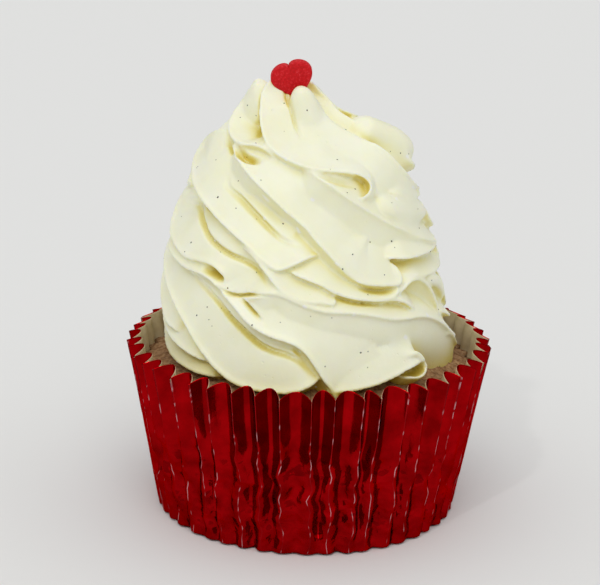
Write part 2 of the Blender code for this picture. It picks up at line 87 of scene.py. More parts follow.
# how far the paper hangs off the foil: in full up to 0.55 of the height, not at all from 0.8
PAPER_SLACK = 0.9 * MM
SLACK_KNOTS = (0, 0.55, 0.8)
SLACK_SHARES = (1, 1, 0)
PAPER_SHORT = 0.15 * MM
# the paper's wall has every second row near its rim and every sixth below
PAPER_FINE_ROWS = 30
# the rings of the floors, as shares of the wall's foot
FLOOR_MIDDLE = 0.55
FLOOR_EDGE = 0.97
FLOOR_EDGE_INSIDE = 0.96
# shares of the height, how far the creases wander to the side there, and how flat the pleats are
JOG_KNOTS = np.array([0, 0.07, 0.14, 0.21, 0.28, 0.35, 0.42, 0.49, 0.56, 0.64, 0.75, 1])
JOG_SIZES = np.array([0.4, 0.5, 0.6, 0.6, 0.65, 0.65, 0.65, 0.55, 0.4, 0.25, 0.12, 0.08]) * MM
FLAT_SHARES = np.array([0.6, 0.6, 0.55, 0.55, 0.5, 0.5, 0.45, 0.4, 0.3, 0.2, 0.12, 0.1])
FLAT_SPREAD = 1.3
DENTS = 260
DENT_HEIGHTS = (2 * MM, 20 * MM)
DENT_RADII = (0.9 * MM, 2.6 * MM)
DENT_DEPTHS = (0.25 * MM, 0.8 * MM)
# a dent goes in by the whole of its depth or bulges out by this part of it
DENT_SIGNS = (-0.4, 1)
# a dent is taller than it is wide
DENT_SQUASH = 0.6
DENTED_SHARE = 0.85
# lacquer rubbed off the creases, its brightest spots painted glints: how near to a crease, the sizes of
# the rubbed stretches, how much the finer ones count, and how readily it shows at three heights
WEAR_GLINT_REACH = 0.02
WEAR_GLINT_SIZES = (2.2 * MM, 0.7 * MM)
WEAR_GLINT_SEEDS = (11, 12)
FINE_WEAR_GLINT = 0.9
WEAR_GLINT_KNOTS = (0, 0.6 * CASE_HEIGHT, CASE_HEIGHT)
WEAR_GLINT_SHIFTS = (0.35, 0.15, -0.45)
WEAR_GLINT_GAIN = 1.8
WEAR_GLINT_LOSS = 0.5
WEAR_GLINT_LEAST = 0.02
# from one crease to the next in the field that the wear and painted glints come from
WEAR_GLINT_STEP = 7.3 * MM
# crumpling: full below, none in the upper part
CRUMPLE_BASE = 1.35
CRUMPLE_FALL = 1.9

# -------- the cake
CAKE_EDGE_HEIGHT = 27.5 * MM
CROWN_POWER = 3
CAKE_FILL = 0.55
CAKE_GAP = 0.12 * MM
# pitch and height of each size of crumb
CRUMB_SIZES = ((2.4 * MM, 0.16 * MM), (0.9 * MM, 0.12 * MM), (0.42 * MM, 0.07 * MM))
CRUMB_SEED = 20
# the rings of the crown as shares of its radius: few where the icing hides it, many outside
HIDDEN_RINGS = np.linspace(0.05, 0.6, 7)
SHOWN_RINGS = np.linspace(0.63, 0.985, 46)
EDGE_DROP = 0.3 * MM
CROWN_DROP = 0.1 * MM
# the rings down the paper: rows below the cake's edge, and the lowest row
ROWS_BELOW_EDGE = (4, 14)
LOWEST_ROW = 3

# -------- the swirl
# height, lean to the right and radius of the outline that the crests touch, in millimetres
SWIRL_OUTLINE = np.array([
    (26.0, 0.9, 27.4), (29.0, 0.9, 27.7), (35.0, -0.2, 27.0), (41.0, -1.4, 26.5), (47.5, -1.6, 25.6),
    (53.5, -1.7, 24.6), (57.0, -1.9, 23.2), (61.0, -1.7, 21.6), (65.0, -1.7, 20.6), (68.0, -1.7, 19.4),
    (70.8, -1.9, 17.0), (73.0, -3.0, 13.6), (76.0, -4.6, 9.3), (81.0, -5.7, 5.1), (84.0, -5.9, 3.8),
])
# how far round a height its slope is taken, and how far the outline may face down and up, radians
FACING_REACH = 1.5
FACING_LIMITS = (-0.2, 0.95)
# the core inside the folds: how far under the outline, its least radius, and its ends, millimetres
CORE_DEPTH = 5.2
CORE_LEAST = 0.8
CORE_FOOT = 26.5
CORE_TOP = 78.0
CORE_ROWS = 60
CORE_SIDES = 96
# a fold's cross-section in millimetres: the radius of its tip, how far its root goes below its sides,
# how far the tip leans over the flank, and the steep fin beside the tip
FOLD_TIP = 0.38
FOLD_ROOT = 3.5
FOLD_LEAN = 1.0
FIN_DEPTH = 0.55
FIN_WIDTH = 0.8
# a fold's ends: how long the rounding is, how narrow and how low it gets, and the length that sinks
FOLD_END = 1.4
END_WIDTH = 0.15
END_DROP = 1.5
SINK_RUN = 5.0
# a side reaches at most this share of the way to the middle of a bend
BEND_ROOM = 0.85
TAPER_LEAST = 0.35
LEAST_SPAN = 0.3
STEPS_ALONG = 220
STEPS_BETWEEN = 32
STEPS_IN_TIP = 6
STEPS_IN_SPAN = 14
SPAN_CROWDING = 1.5
BEND_SMOOTHING = 6
WIDTH_SMOOTHING = 9
BACK_TURN = 180
SWIRL_VOXEL = 0.3 * MM
SWIRL_FACES = 190_000
SOFTENING = 0.5
SOFTEN_STEPS = 2

# Each fold: its crest as (degrees round from the front, height), then the widths of its face and of
# its flank from start to end, and how deep the two fall. After that, where it differs: "sink" of its
# two ends, "full" for how the depths grow across face and flank (1 straight, more is rounder), "tip"
# for the radius of its crest, "proud" of the outline, "taper" where the face narrows at the end, and
# "corner" where the crest turns round the cut end of its ribbon. Millimetres.
PLAIN_SINK = (1, 0)
PLAIN_FULL = (1.1, 0.9)
ROUND_FACE = (1.45, 0.9)
ROUND_FLANK = (1.2, 1.8)
ROUND = (1.8, 1.8)
FOLDS = {
    "crown_left": dict(
        crest=((-97, 81.6), (-98, 79.4), (-95, 76.6), (-84, 74.9), (-70, 73.4), (-54, 72.3),
               (-43, 71.9), (-33, 72.1), (-24, 71.9), (-17, 71.2)),
        face=(4, 6), flank=(3, 2), deep=(4.5, 4.5), sink=(0, 1), full=ROUND_FACE),
    "crown_middle": dict(
        crest=((-25, 82.4), (-41, 80), (-38, 78), (-34, 76.3), (-29, 74.6), (-24, 72.9), (-17, 71.6),
               (-9, 70.7), (-1, 69.9), (7, 69.3), (15, 69), (23, 68.7), (29, 68.2)),
        face=(4, 9), flank=(2, 2), deep=(3.4, 5.5), sink=(0, 0), full=(1.2, 0.8), taper=9),
    "crown_curl": dict(
        crest=((19, 68.9), (25, 68.6), (30, 68.1), (34, 67.3), (36, 66.2), (34.5, 64.9), (30.5, 64.2),
               (26, 64.5)),
        face=(3.5, 1.2), flank=(0.8, 0.8), deep=(3, 3), sink=(0, 1.2), tip=0.32, proud=0.1),
    "crown_right": dict(
        crest=((40, 80.4), (50, 78.7), (48, 76.8), (48, 75.3), (51, 74), (54, 72.8), (58, 71),
               (61, 69), (66, 66.6), (74, 64), (90, 61.2)),
        face=(3.5, 4), flank=(7, 9), deep=(4.5, 3.4), sink=(0, 0), full=(0.9, 1.4)),
    "crown_right_end": dict(
        crest=((50, 64.7), (57, 62.9), (65, 61.8), (75, 61.2), (88, 60.8)),
        face=(6, 5), flank=(2, 2), deep=(4, 4.5), sink=(2, 0), full=ROUND_FACE),
    "crown_far": dict(
        crest=((100, 81), (85, 78.3), (77, 76), (76, 74.4), (80, 73)),
        face=(4, 4), flank=(4, 4), deep=(4.5, 4.5), sink=(0, 1), full=ROUND),
    "crown_back": dict(
        crest=((68, 74.6), (79, 73), (88, 71), (91, 68.8), (87, 66.8)),
        face=(6, 6), flank=(6, 6), deep=(6, 6), sink=(1, 1), full=ROUND, tip=4.0, proud=1.8),
    "shoulder_far": dict(
        crest=((38, 62.8), (48, 61.2), (60, 59.8), (74, 58.8), (90, 58)),
        face=(4, 4), flank=(4, 4), deep=(5, 5), sink=(2, 0), full=ROUND, tip=2.6),
    "shoulder_left": dict(
        crest=((-70, 73.3), (-86, 71.7), (-97, 69.4), (-95, 67), (-86, 65.2), (-72, 63.2), (-60, 61.7),
               (-50, 60.5), (-41, 59.2), (-32, 57.7), (-24, 56.1), (-17, 54.2), (-12.5, 53),
               (-10, 52.6), (-7, 52.9), (-2, 53.9), (4, 55), (10, 55.6)),
        face=(6, 8), flank=(4, 2.5), deep=(4.5, 4.8), sink=(1, 3), full=ROUND_FACE, corner=True),
    "shoulder_long": dict(
        crest=((-55, 72), (-45, 70.4), (-37, 69.1), (-30, 67.8), (-22, 66), (-15, 64.3), (-9, 62.6),
               (-3, 61), (2, 59.6), (7, 57.5), (12, 55.3), (16, 53.3), (20.5, 51.3), (26, 49.9),
               (33, 49.2), (39, 48.8), (43, 48.6), (44.8, 49), (45, 50.2), (44, 51.8), (41.5, 53)),
        face=(6, 8), flank=(4.6, 3.8), deep=(4.5, 4.8), sink=(1, 2.5), full=ROUND_FACE, corner=True),
    "shoulder_right": dict(
        crest=((0, 69.8), (9, 67.8), (16, 66.1), (22, 64.5), (29, 62.7), (36, 61), (44, 59.1),
               (53, 57.3), (64, 55.2), (76, 53.1), (88, 51.6)),
        face=(6, 6), flank=(7, 8), deep=(4.5, 4.5), full=(1.3, 1.2)),
    "shoulder_right_end": dict(
        crest=((40, 53.8), (48, 52.9), (58, 52.4), (70, 52), (86, 51.4)),
        face=(5, 5), flank=(1.5, 2), deep=(4, 4.5), sink=(2, 0), full=ROUND_FACE),
    "waist_far": dict(
        crest=((46, 50.2), (53, 49.3), (61, 48.5), (72, 48), (84, 47.8), (96, 47.6)),
        face=(5, 5), flank=(2, 3), deep=(4.5, 5), sink=(2, 0)),
    "waist_lip": dict(
        crest=((-6, 52.6), (-2, 51.8), (3, 51), (8, 50.1), (14, 48.6), (21, 47.5), (28, 46.8),
               (34, 46.4), (40, 46.6), (44.5, 48)),
        face=(4, 5), flank=(2, 2.5), deep=(4, 2.8)),
    "waist_right": dict(
        crest=((41, 45.8), (46, 47.5), (51, 48.5), (56, 48.3), (61, 47.1), (65, 45.4), (68, 43.4),
               (71, 41), (73, 39)),
        face=(4, 5), flank=(5, 6), deep=(4.5, 4.5), sink=(1, 1)),
    "waist_right_end": dict(
        crest=((62, 48), (70, 46.6), (79, 44.8), (87, 42.6), (92, 39.8)),
        face=(4, 4), flank=(5, 5), deep=(4.5, 4.5), sink=(1, 1), full=ROUND_FLANK, tip=1.5),
    "waist_small": dict(
        crest=((33, 46.1), (40, 46), (45, 45.3), (49, 44.1), (54, 42.6)),
        face=(3, 3), flank=(2.5, 2.5), deep=(4, 4), sink=(1, 1)),
    "waist_left": dict(
        crest=((-104, 60), (-96, 58.2), (-91, 55.8), (-82, 53.6), (-71, 52.4), (-62, 51.6),
               (-55, 51.4), (-48, 51.7), (-42, 51.8), (-37, 51.2), (-34, 50), (-33.3, 48.2)),
        face=(6, 8), flank=(3.4, 2.4), deep=(4.5, 5), sink=(1, 1), full=ROUND_FACE),
    "waist_leaf": dict(
        crest=((-28, 56.2), (-21, 54.6), (-16.5, 52.8), (-12.5, 50.9), (-9, 49.3), (-4.5, 48),
               (0, 47.4), (5, 47.1), (10, 46.9), (12.8, 46.6), (13.6, 47.2), (13, 48.2), (10.5, 49.4)),
        face=(4, 5), flank=(3, 2), deep=(4, 4.6), sink=(1, 2), full=ROUND_FACE, corner=True),
    "skirt_front": dict(
        crest=((-90, 52.2), (-77, 50.7), (-66, 50), (-56, 49.5), (-49, 49.6), (-43, 49.4), (-39, 48.8),
               (-35, 47.8), (-31, 46.4), (-26, 44.6), (-22, 43), (-17, 41.7), (-12, 40.8), (-7, 40.2),
               (-3, 39.5), (0.5, 38.1), (3, 35.9), (5.5, 33.3), (8, 31.3), (9, 29.5)),
        face=(6, 10), flank=(4.4, 3.6), deep=(3.8, 5), full=ROUND_FACE),
    "skirt_left": dict(
        crest=((-90, 52), (-87, 49.2), (-84, 47), (-79, 45.5), (-72, 44.3), (-65, 42.9), (-59, 41.4),
               (-54, 39.6), (-47.5, 36.5), (-42, 34.2), (-37, 32.6), (-31, 31.3), (-24, 30.7),
               (-16, 30.6), (-9, 30.8), (-4, 31.4), (1, 32.5), (5, 33.8)),
        face=(6, 12), flank=(3.6, 3), deep=(3.3, 5), sink=(1, 1.5), full=ROUND_FACE),
    "skirt_far_left": dict(
        crest=((-92, 46.6), (-93, 43.8), (-89, 41.6), (-86, 39.8), (-81, 38), (-73, 36.9), (-64, 36.4)),
        face=(4, 5), flank=(4, 3), deep=(4.5, 5), sink=(1, 1), full=ROUND_FACE),
    "skirt_low": dict(
        crest=((-104, 40), (-92, 37.4), (-80, 35.7), (-70, 34.8), (-60, 34.3), (-50, 33.9), (-42, 33.6)),
        face=(4, 5), flank=(2, 2), deep=(4.5, 4.5), sink=(1, 1), full=ROUND_FACE),
    "skirt_lowest": dict(
        crest=((-106, 36), (-92, 33.4), (-80, 31.9), (-70, 31.2), (-60, 31), (-50, 31), (-40, 31.2)),
        face=(4, 4), flank=(3, 3), deep=(4, 4), sink=(1, 1), full=ROUND_FACE),
    "skirt_right": dict(
        crest=((-24, 46.4), (-18, 47.6), (-11, 48.4), (-4, 47.5), (3, 46.2), (10, 45.4), (17, 45.1),
               (23, 44.7), (30, 43.9), (38, 42.8), (46, 42.2), (53, 41.8), (60, 40.9), (67, 39.4),
               (74, 37.4), (82, 34.6), (91, 31)),
        face=(5, 6), flank=(9, 12), deep=(5, 5), full=(1.2, 2.2)),
    "skirt_tip": dict(
        crest=((6, 31), (13, 31.2), (20, 31.5), (26, 31.9), (31, 32.4), (36, 32.9), (41, 33.4),
               (45.5, 33.8), (49.5, 33.9)),
        face=(6, 5), flank=(2.5, 1.5), deep=(3, 4.5), sink=(0, 0), full=ROUND_FACE),
    "skirt_tip_curl": dict(
        crest=((49.5, 34), (50.6, 33), (49, 31.9), (45.5, 31.5), (42, 31.8), (38, 32.4)),
        face=(1.2, 1.2), flank=(1.2, 1.2), deep=(4, 4), sink=(0, 1.5), tip=0.32),
    "skirt_tip_end": dict(
        crest=((50.6, 33), (50, 34.2), (48.6, 35.2), (46, 35.8), (42, 35.7), (37, 34.9)),
        face=(4, 4), flank=(1.5, 2), deep=(3, 4.5), sink=(0, 2), full=ROUND_FACE, tip=0.7),
}
FRONT_ONLY = ("skirt_tip", "skirt_tip_end", "skirt_tip_curl", "crown_curl", "crown_back")

# A bud of icing pressed up against the heart: its middle and its half sizes, millimetres, and how
# much it leans to the left on its way up.
BUD_MIDDLE = (-1.4, -5.9, 75.8)
BUD_SIZE = (2.9, 2.5, 5.5)
BUD_LEAN = 0.2
BUD_RINGS = 24
BUD_SIDES = 40

# Each hollow pressed into the finished swirl: its course like a crest's, its half width and how deep
# it is pressed. Only icing within the reach under the outline moves, and a hollow fades out over the
# first and last part of its course, 1 / HOLLOW_FADE of it.
HOLLOW_REACH = 7.0
HOLLOW_FADE = 3.0
HOLLOW_STEPS = 60
HOLLOWS = {
    "under_crown_left": (((-52, 71.8), (-47, 71.2), (-42, 70.8), (-36, 70.4), (-26, 70.4)), 1.3, 2.2),
    "crown_notch": (((-60, 82), (-53, 80), (-46, 77.8), (-40, 75.9), (-35, 74.2)), 0.9, 1.0),
    "under_crown_curl": (((6, 68.7), (12, 68.1), (18, 67.4), (24, 66.9), (31, 66.4)), 1.0, 0.7),
    "under_shoulder": (((24, 49.2), (30, 48.3), (36, 47.8), (43, 47.9)), 0.7, 1.0),
    "under_lip": (((8, 49), (14, 47.9), (22, 46.6), (30, 46), (38, 45.6)), 0.6, 0.5),
    "under_waist_left": (((-46, 50.5), (-41, 50.3), (-37, 49.9), (-33.5, 49.2)), 1.0, 1.9),
    "tip_curl": (((38, 32.6), (42, 32.6), (46, 32.8), (51, 33.2)), 0.9, 2.2),
    "by_the_heart": (((3, 82), (5, 80), (7, 78), (8, 76), (8, 74)), 0.5, 0.7),
    "first_crack": (((-27, 47), (-23.5, 46), (-20, 44.7), (-16, 43.2)), 0.5, 1.3),
    "under_shoulder_long": (((-52, 67), (-47, 64.8), (-41, 63.9), (-36.5, 63.2), (-30, 62.1),
                             (-24.5, 61.1), (-19.5, 60.1), (-14.5, 59), (-10, 58), (-5.5, 57.3),
                             (0.5, 56.6)), 0.75, 1.1),
    "under_shoulder_left": (((-89, 59.3), (-70, 59.5), (-59, 57.9), (-49.5, 56.3), (-41, 55.1),
                             (-33, 54.1), (-26, 53.5), (-21, 52.5), (-16.5, 50.8),
                             (-12.5, 48.9)), 0.75, 1.2),
    "under_skirt_front": (((-55, 48), (-48, 47), (-43, 46), (-38.6, 44.8), (-33, 42.8), (-28, 41.1),
                           (-23.5, 39.5), (-19.5, 38.4), (-14.5, 37.7), (-9.5, 37.3), (-5, 36.7),
                           (-1.5, 35.6), (1.5, 33.8)), 0.75, 1.3),
    "second_crack": (((-37, 48.3), (-33, 47.5), (-28, 47.1), (-21, 47.6), (-12, 48)), 0.5, 1.2),
}

# Each place where two folds have flowed together: degrees round from the front, height, and the
# reach and strength of the flow.
FLOW_STEPS = 90
FLOW_PACE = 0.5
FLOWS = {
    "crown_band": (34, 73.5, 7.5, 1.0),
    "bud_foot": (22, 76.2, 4.4, 1.0),
    "crown_bulge": (86, 71, 6.0, 0.9),
    "far_shoulder": (66, 60, 6.0, 0.8),
    "lip_side": (24, 53, 3.0, 0.5),
    "tip_corner": (42, 38, 3.2, 0.8),
}

# -------- seeds and heart
SEEDS = 170
SCATTER_SEED = 8
SEED_LENGTHS = (0.2 * MM, 0.42 * MM)
# widths as shares of the length
SEED_WIDTHS = (0.5, 0.9)
# scattered seeds are rare up to the first turn from the front and full from the second, radians
SIDE_TURNS = (0.9, 1.5)
FRONT_SHARE = 0.12
SEEDS_ABOVE = CAKE_EDGE_HEIGHT + 2 * MM
# seeds that are plain to see on the front: degrees round from the front, height and length
FRONT_SEEDS = (
    (-76, 77.1, 0.35), (-32, 72.5, 0.35), (-42, 70.9, 0.3), (-43, 66.6, 0.35), (-49, 63, 0.5),
    (-36, 61.6, 0.3), (-24, 61, 0.3), (-10, 60.4, 0.4), (-22, 67.3, 0.3), (-2, 78.7, 0.3),
    (23, 76.9, 0.35), (24, 71.3, 0.4), (66, 74.5, 0.3), (75, 70.2, 0.25), (72, 69.5, 0.35),
    (15, 69.2, 0.25), (29, 66, 0.4), (23, 65.5, 0.35), (49, 62.4, 0.25), (71, 59.5, 0.3),
    (-48, 41.4, 0.4), (-43, 41.4, 0.3), (-24, 42.6, 0.45), (-12, 40.4, 0.4), (23, 37.5, 0.45),
    (12, 44.3, 0.25), (7, 35.7, 0.3), (-59, 53.9, 0.45), (-52, 48.8, 0.3), (-38, 54.6, 0.3),
    (-20, 51.7, 0.3), (17, 52.8, 0.45), (24, 55.2, 0.4), (36, 56.8, 0.4), (47, 56.1, 0.55),
    (28, 47.9, 0.3), (-8, 43.6, 0.25), (3, 44.5, 0.25), (-33, 43.4, 0.3),
)
PEBBLE_POINTS = np.array([(1, 0, 0), (0, 1, 0), (-1, 0, 0), (0, -1, 0), (0, 0, 1), (0, 0, -1)], float)
PEBBLE_FACES = np.array([
    (0, 1, 4), (1, 2, 4), (2, 3, 4), (3, 0, 4), (1, 0, 5), (2, 1, 5), (3, 2, 5), (0, 3, 5),
])
# a plain seed is looked for within this distance of its place, at most so far out of the outline
SEED_SEARCH = 0.5 * MM
SEED_SEARCH_OUT = 3 * MM
HEART_POINTS = 96
HEART_TURN = math.radians(-18)
HEART_TIP_BACK = math.radians(8)
HEART_WIDTH = 7.6 * MM
HEART_HEIGHT = 7.5 * MM
HEART_THICKNESS = 2.0 * MM
HEART_EDGE = 0.45 * MM
HEART_EDGE_STEPS = 7
HEART_MIDDLE = (0, 0, 0.5 * MM)
HEART_FACE_RINGS = (0.25, 0.5, 0.75, 0.92)
HEART_SHIFT = (0.5 * MM, 0, -0.5 * MM)

# -------- colours, linear
DEEP_RED = (0.215, 0.0006, 0.0014)
BRIGHT_RED = (0.40, 0.0012, 0.0034)
RED_SHEEN = (0.75, 0.03, 0.06, 1)
# mauve silver of the rubbed creases, bright enough in spots to be painted glints
WORN_SILVER_AND_GLINT = (0.78, 0.46, 0.50)
SOAKED_PAPER = (0.46, 0.37, 0.21)
TAN_PAPER = (0.62, 0.53, 0.35)
DRY_PAPER = (0.70, 0.62, 0.45)
DARK_CRUMB = (0.17, 0.075, 0.03)
BROWN_CRUMB = (0.36, 0.20, 0.095)
PALE_CRUMB = (0.54, 0.34, 0.18)
# painted shade of the icing, from the depth of a crease out towards its own ivory
PAINTED_CREASE_SHADE = (0.66, 0.52, 0.05)
PAINTED_HOLLOW_SHADE = (0.86, 0.79, 0.27)
PAINTED_SOFT_SHADE = (0.91, 0.88, 0.51)
IVORY = (0.93, 0.93, 0.75)
# painted highlight on the icing's thin edges
PAINTED_EDGE_HIGHLIGHT = (0.93, 0.93, 0.85)
CREAM = (0.97, 0.965, 0.89)
SHADED_CREAM = (0.88, 0.79, 0.46)
WHITE = (1.0, 1.0, 1.0)
SEED_BLACK = (0.012, 0.008, 0.005)
SEED_BROWN = (0.06, 0.04, 0.02)
DARK_SUGAR = (0.46, 0.0008, 0.003)
RED_SUGAR = (0.63, 0.002, 0.008)
PALE_SUGAR = (0.74, 0.05, 0.07)
FLOOR_GREY = (0.80, 0.80, 0.79, 1)
LAMP_WHITE = (1.0, 0.99, 0.97)
ROOM_WHITE = (0.97, 0.985, 1.0, 1)

# -------- light
# name, where it comes from, strength and spread in degrees
LIGHTS = (
    ("window_light", (0.0, -0.7, 0.8), 0.67, 44),
    ("overhead_light", (0, -0.1, 1), 0.85, 110),
    ("small_lamp", (-0.35, -0.7, 0.75), 0.2, 2),
)
ROOM_STRENGTH = 0.475

# -------- floor and camera
FLOOR_HALF = 3.0
CAMERA_DOWN = math.radians(17.74)
CAMERA_TIP = math.radians(1.28)
CAMERA_DISTANCE = 0.430
CAMERA_LEFT = 1.7 * MM
CAMERA_RAISE = 7.45 * MM
VIEW_WIDTH = 0.112
SENSOR_WIDTH = 36


# ======== arithmetic


def unit(vectors):
    return vectors / np.maximum(np.linalg.norm(vectors, axis=-1, keepdims=True), 1e-12)


def clouds(points, size, seed):
    """A smooth random field from -1 to 1: random values on a lattice of that pitch, joined by eased
    straight lines along each axis."""
    side = CLOUD_LATTICE
    table = np.random.default_rng(seed).uniform(-1, 1, (side, side, side))
    place = np.asarray(points) / size
    cell = np.floor(place).astype(int)
    share = place - cell
    share = share * share * (3 - 2 * share)
    total = np.zeros(place.shape[:-1])
    for corner in np.ndindex(2, 2, 2):
        weight = np.prod(np.where(corner, share, 1 - share), axis=-1)
        index = (cell + corner) % side
        total += weight * table[index[..., 0], index[..., 1], index[..., 2]]
    return total


def smoothed(values, reach):
    """Each value as the mean of those up to reach places away."""
    padded = np.pad(values, reach, mode="edge")
    return np.convolve(padded, np.ones(2 * reach + 1) / (2 * reach + 1), "valid")


# ======== meshes


def skin(name, rings, first=None, last=None):
    """A closed skin: rings of equally many points joined in order, with a fan of triangles to a point
    at each end, or one face across the ring where no point is given."""
    count, sides = rings.shape[:2]
    index = np.arange(count * sides).reshape(count, sides)
    after = np.roll(index, -1, axis=1)
    quads = np.stack((index[:-1], after[:-1], after[1:], index[1:]), axis=-1).reshape(-1, 4)
    faces = quads.tolist()
    points = [rings.reshape(-1, 3)]
    for ring, following, point in ((index[0], after[0], first), (after[-1], index[-1], last)):
        if point is None:
            faces.append(ring[::-1].tolist())
            continue
        tip = sum(len(part) for part in points)
        points.append(np.array([point], float))
        faces += np.stack((following, ring, np.full(sides, tip)), axis=-1).tolist()
    mesh = bpy.data.meshes.new(name)
    mesh.from_pydata(np.vstack(points).tolist(), [], faces)
    return mesh


def face_out(mesh):
    """Turns every face of a closed mesh outwards."""
    shape = bmesh.new()
    shape.from_mesh(mesh)
    bmesh.ops.recalc_face_normals(shape, faces=shape.faces[:])
    shape.to_mesh(mesh)
    shape.free()
    return mesh


def add_object(name, data):
    obj = bpy.data.objects.new(name, data)
    bpy.context.scene.collection.objects.link(obj)
    return obj


def add_piece(name, mesh, material):
    """A finished piece of the cupcake: its material, and its ride on the body."""
    mesh.materials.clear()
    mesh.materials.append(material)
    mesh.shade_smooth()
    obj = add_object(name, mesh)
    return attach(obj, BODY)


def set_attribute(mesh, name, values):
    """One number for each of the mesh's first points, and 0 for the rest."""
    layer = mesh.attributes.new(name, "FLOAT", "POINT")
    full = np.zeros(len(mesh.vertices), np.float32)
    full[: values.size] = values.ravel()
    layer.data.foreach_set("value", full)


def vertices_of(mesh):
    flat = np.empty(len(mesh.vertices) * 3)
    mesh.vertices.foreach_get("co", flat)
    return flat.reshape(-1, 3)


# ======== finishes


class Finish:
    """A material in the making: its nodes read Object coordinates in metres."""

    def __init__(self, name, sockets):
        self.material = bpy.data.materials.new(name)
        self.material.use_nodes = True
        self.nodes = self.material.node_tree.nodes
        self.links = self.material.node_tree.links
        self.shader = self.nodes["Principled BSDF"]
        for socket, value in sockets.items():
            self.shader.inputs[socket].default_value = value
        self.place = self.nodes.new("ShaderNodeTexCoord").outputs["Object"]

    def node(self, kind, inputs, **settings):
        made = self.nodes.new("ShaderNode" + kind)
        for setting, value in settings.items():
            setattr(made, setting, value)
        for socket, value in inputs.items():
            if isinstance(value, bpy.types.NodeSocket):
                self.links.new(value, made.inputs[socket])
            else:
                made.inputs[socket].default_value = value
        return made

    def noise(self, size, detail=2.0, roughness=0.5):
        inputs = {"Vector": self.place, "Scale": 1 / size, "Detail": detail, "Roughness": roughness}
        return self.node("TexNoise", inputs).outputs["Fac"]

    def cells(self, size):
        return self.node("TexVoronoi", {"Vector": self.place, "Scale": 1 / size}).outputs["Distance"]

    def attribute(self, name):
        return self.node("Attribute", {}, attribute_name=name).outputs["Fac"]

    def ramp(self, value, *stops):
        """value turned into a colour by (place, colour) stops."""
        made = self.node("ValToRGB", {"Fac": value})
        elements = made.color_ramp.elements
        while len(elements) < len(stops):
            elements.new(1.0)
        for element, (place, colour) in zip(elements, stops):
            element.position = place
            element.color = (*colour, 1)
        return made.outputs["Color"]

    def mix(self, share, first, second, blend="MIX"):
        """Two colours mixed. The node keeps its sockets for colours at 6 and 7, and its result at 2."""
        made = self.nodes.new("ShaderNodeMix")
        made.data_type = "RGBA"
        made.blend_type = blend
        for number, value in ((0, share), (6, first), (7, second)):
            socket = made.inputs[number]
            if isinstance(value, bpy.types.NodeSocket):
                self.links.new(value, socket)
            else:
                socket.default_value = value if isinstance(value, float) else (*value, 1)
        return made.outputs[2]

    def maths(self, operation, first, second):
        return self.node("Math", {0: first, 1: second}, operation=operation).outputs[0]

    def bump(self, height, distance, strength, under=None):
        inputs = {"Height": height, "Distance": distance, "Strength": strength}
        if under is not None:
            inputs["Normal"] = under
        return self.node("Bump", inputs).outputs["Normal"]

    def join(self, output, socket):
        self.links.new(output, self.shader.inputs[socket])


def grey(value):
    return (value, value, value)


def foil_finish():
    """Red lacquered foil: mirror-like and deep red, its lacquer rubbed to a mauve silver on the creases,
    the brightest spots of it painted glints.
    """
    finish = Finish("red_foil", {"Metallic": 1.0, "Specular Tint": RED_SHEEN})
    patchy = finish.ramp(finish.noise(4 * MM, 3), (0.3, DEEP_RED), (0.7, BRIGHT_RED))
    # base colour: mauve silver on rubbed creases, in spots painted glints
    finish.join(finish.mix(finish.attribute("wear_and_glint"), patchy, WORN_SILVER_AND_GLINT), "Base Color")
    polish = finish.ramp(finish.noise(1.5 * MM, 2), (0.3, grey(0.08)), (0.75, grey(0.25)))
    finish.join(polish, "Roughness")
    crumple = finish.maths("MULTIPLY", finish.cells(1.5 * MM), finish.attribute("crumple"))
    wide = finish.maths("MULTIPLY", finish.cells(3.4 * MM), finish.attribute("crumple"))
    creased = finish.bump(crumple, 0.3 * MM, 0.7, finish.bump(wide, 0.9 * MM, 0.6))
    finish.join(finish.bump(finish.noise(0.5 * MM, 2), 0.012 * MM, 0.6, creased), "Normal")
    return finish.material


def paper_finish():
    """Greaseproof paper, tan, mottled where fat has soaked in."""
    finish = Finish("baking_paper", {"Roughness": 0.6, "Specular IOR Level": 0.35})
    stains = finish.noise(3 * MM, 4)
    colour = finish.ramp(stains, (0.3, SOAKED_PAPER), (0.6, TAN_PAPER), (0.8, DRY_PAPER))
    finish.join(colour, "Base Color")
    finish.join(finish.bump(finish.noise(0.35 * MM, 3), 0.02 * MM, 0.6), "Normal")
    return finish.material


def cake_finish():
    """Baked crumb: warm brown, darker in its pores."""
    finish = Finish("cake_crumb", {"Roughness": 0.9, "Specular IOR Level": 0.2})
    grain = finish.noise(0.8 * MM, 5, 0.7)
    crumb = finish.ramp(grain, (0.32, DARK_CRUMB), (0.5, BROWN_CRUMB), (0.7, PALE_CRUMB))
    patches = finish.ramp(finish.noise(5 * MM, 2), (0.3, grey(0.75)), (0.7, grey(1.0)))
    finish.join(finish.mix(1.0, crumb, patches, "MULTIPLY"), "Base Color")
    pores = finish.bump(finish.cells(0.7 * MM), 0.25 * MM, 0.7)
    finish.join(finish.bump(finish.noise(0.3 * MM, 4, 0.7), 0.15 * MM, 0.8, pores), "Normal")
    return finish.material


def open_sky(finish, reach):
    """How open the surface is within that reach: 0 in the depth of a crease, 1 on a ridge."""
    return finish.node("AmbientOcclusion", {"Distance": reach}, samples=8).outputs["AO"]


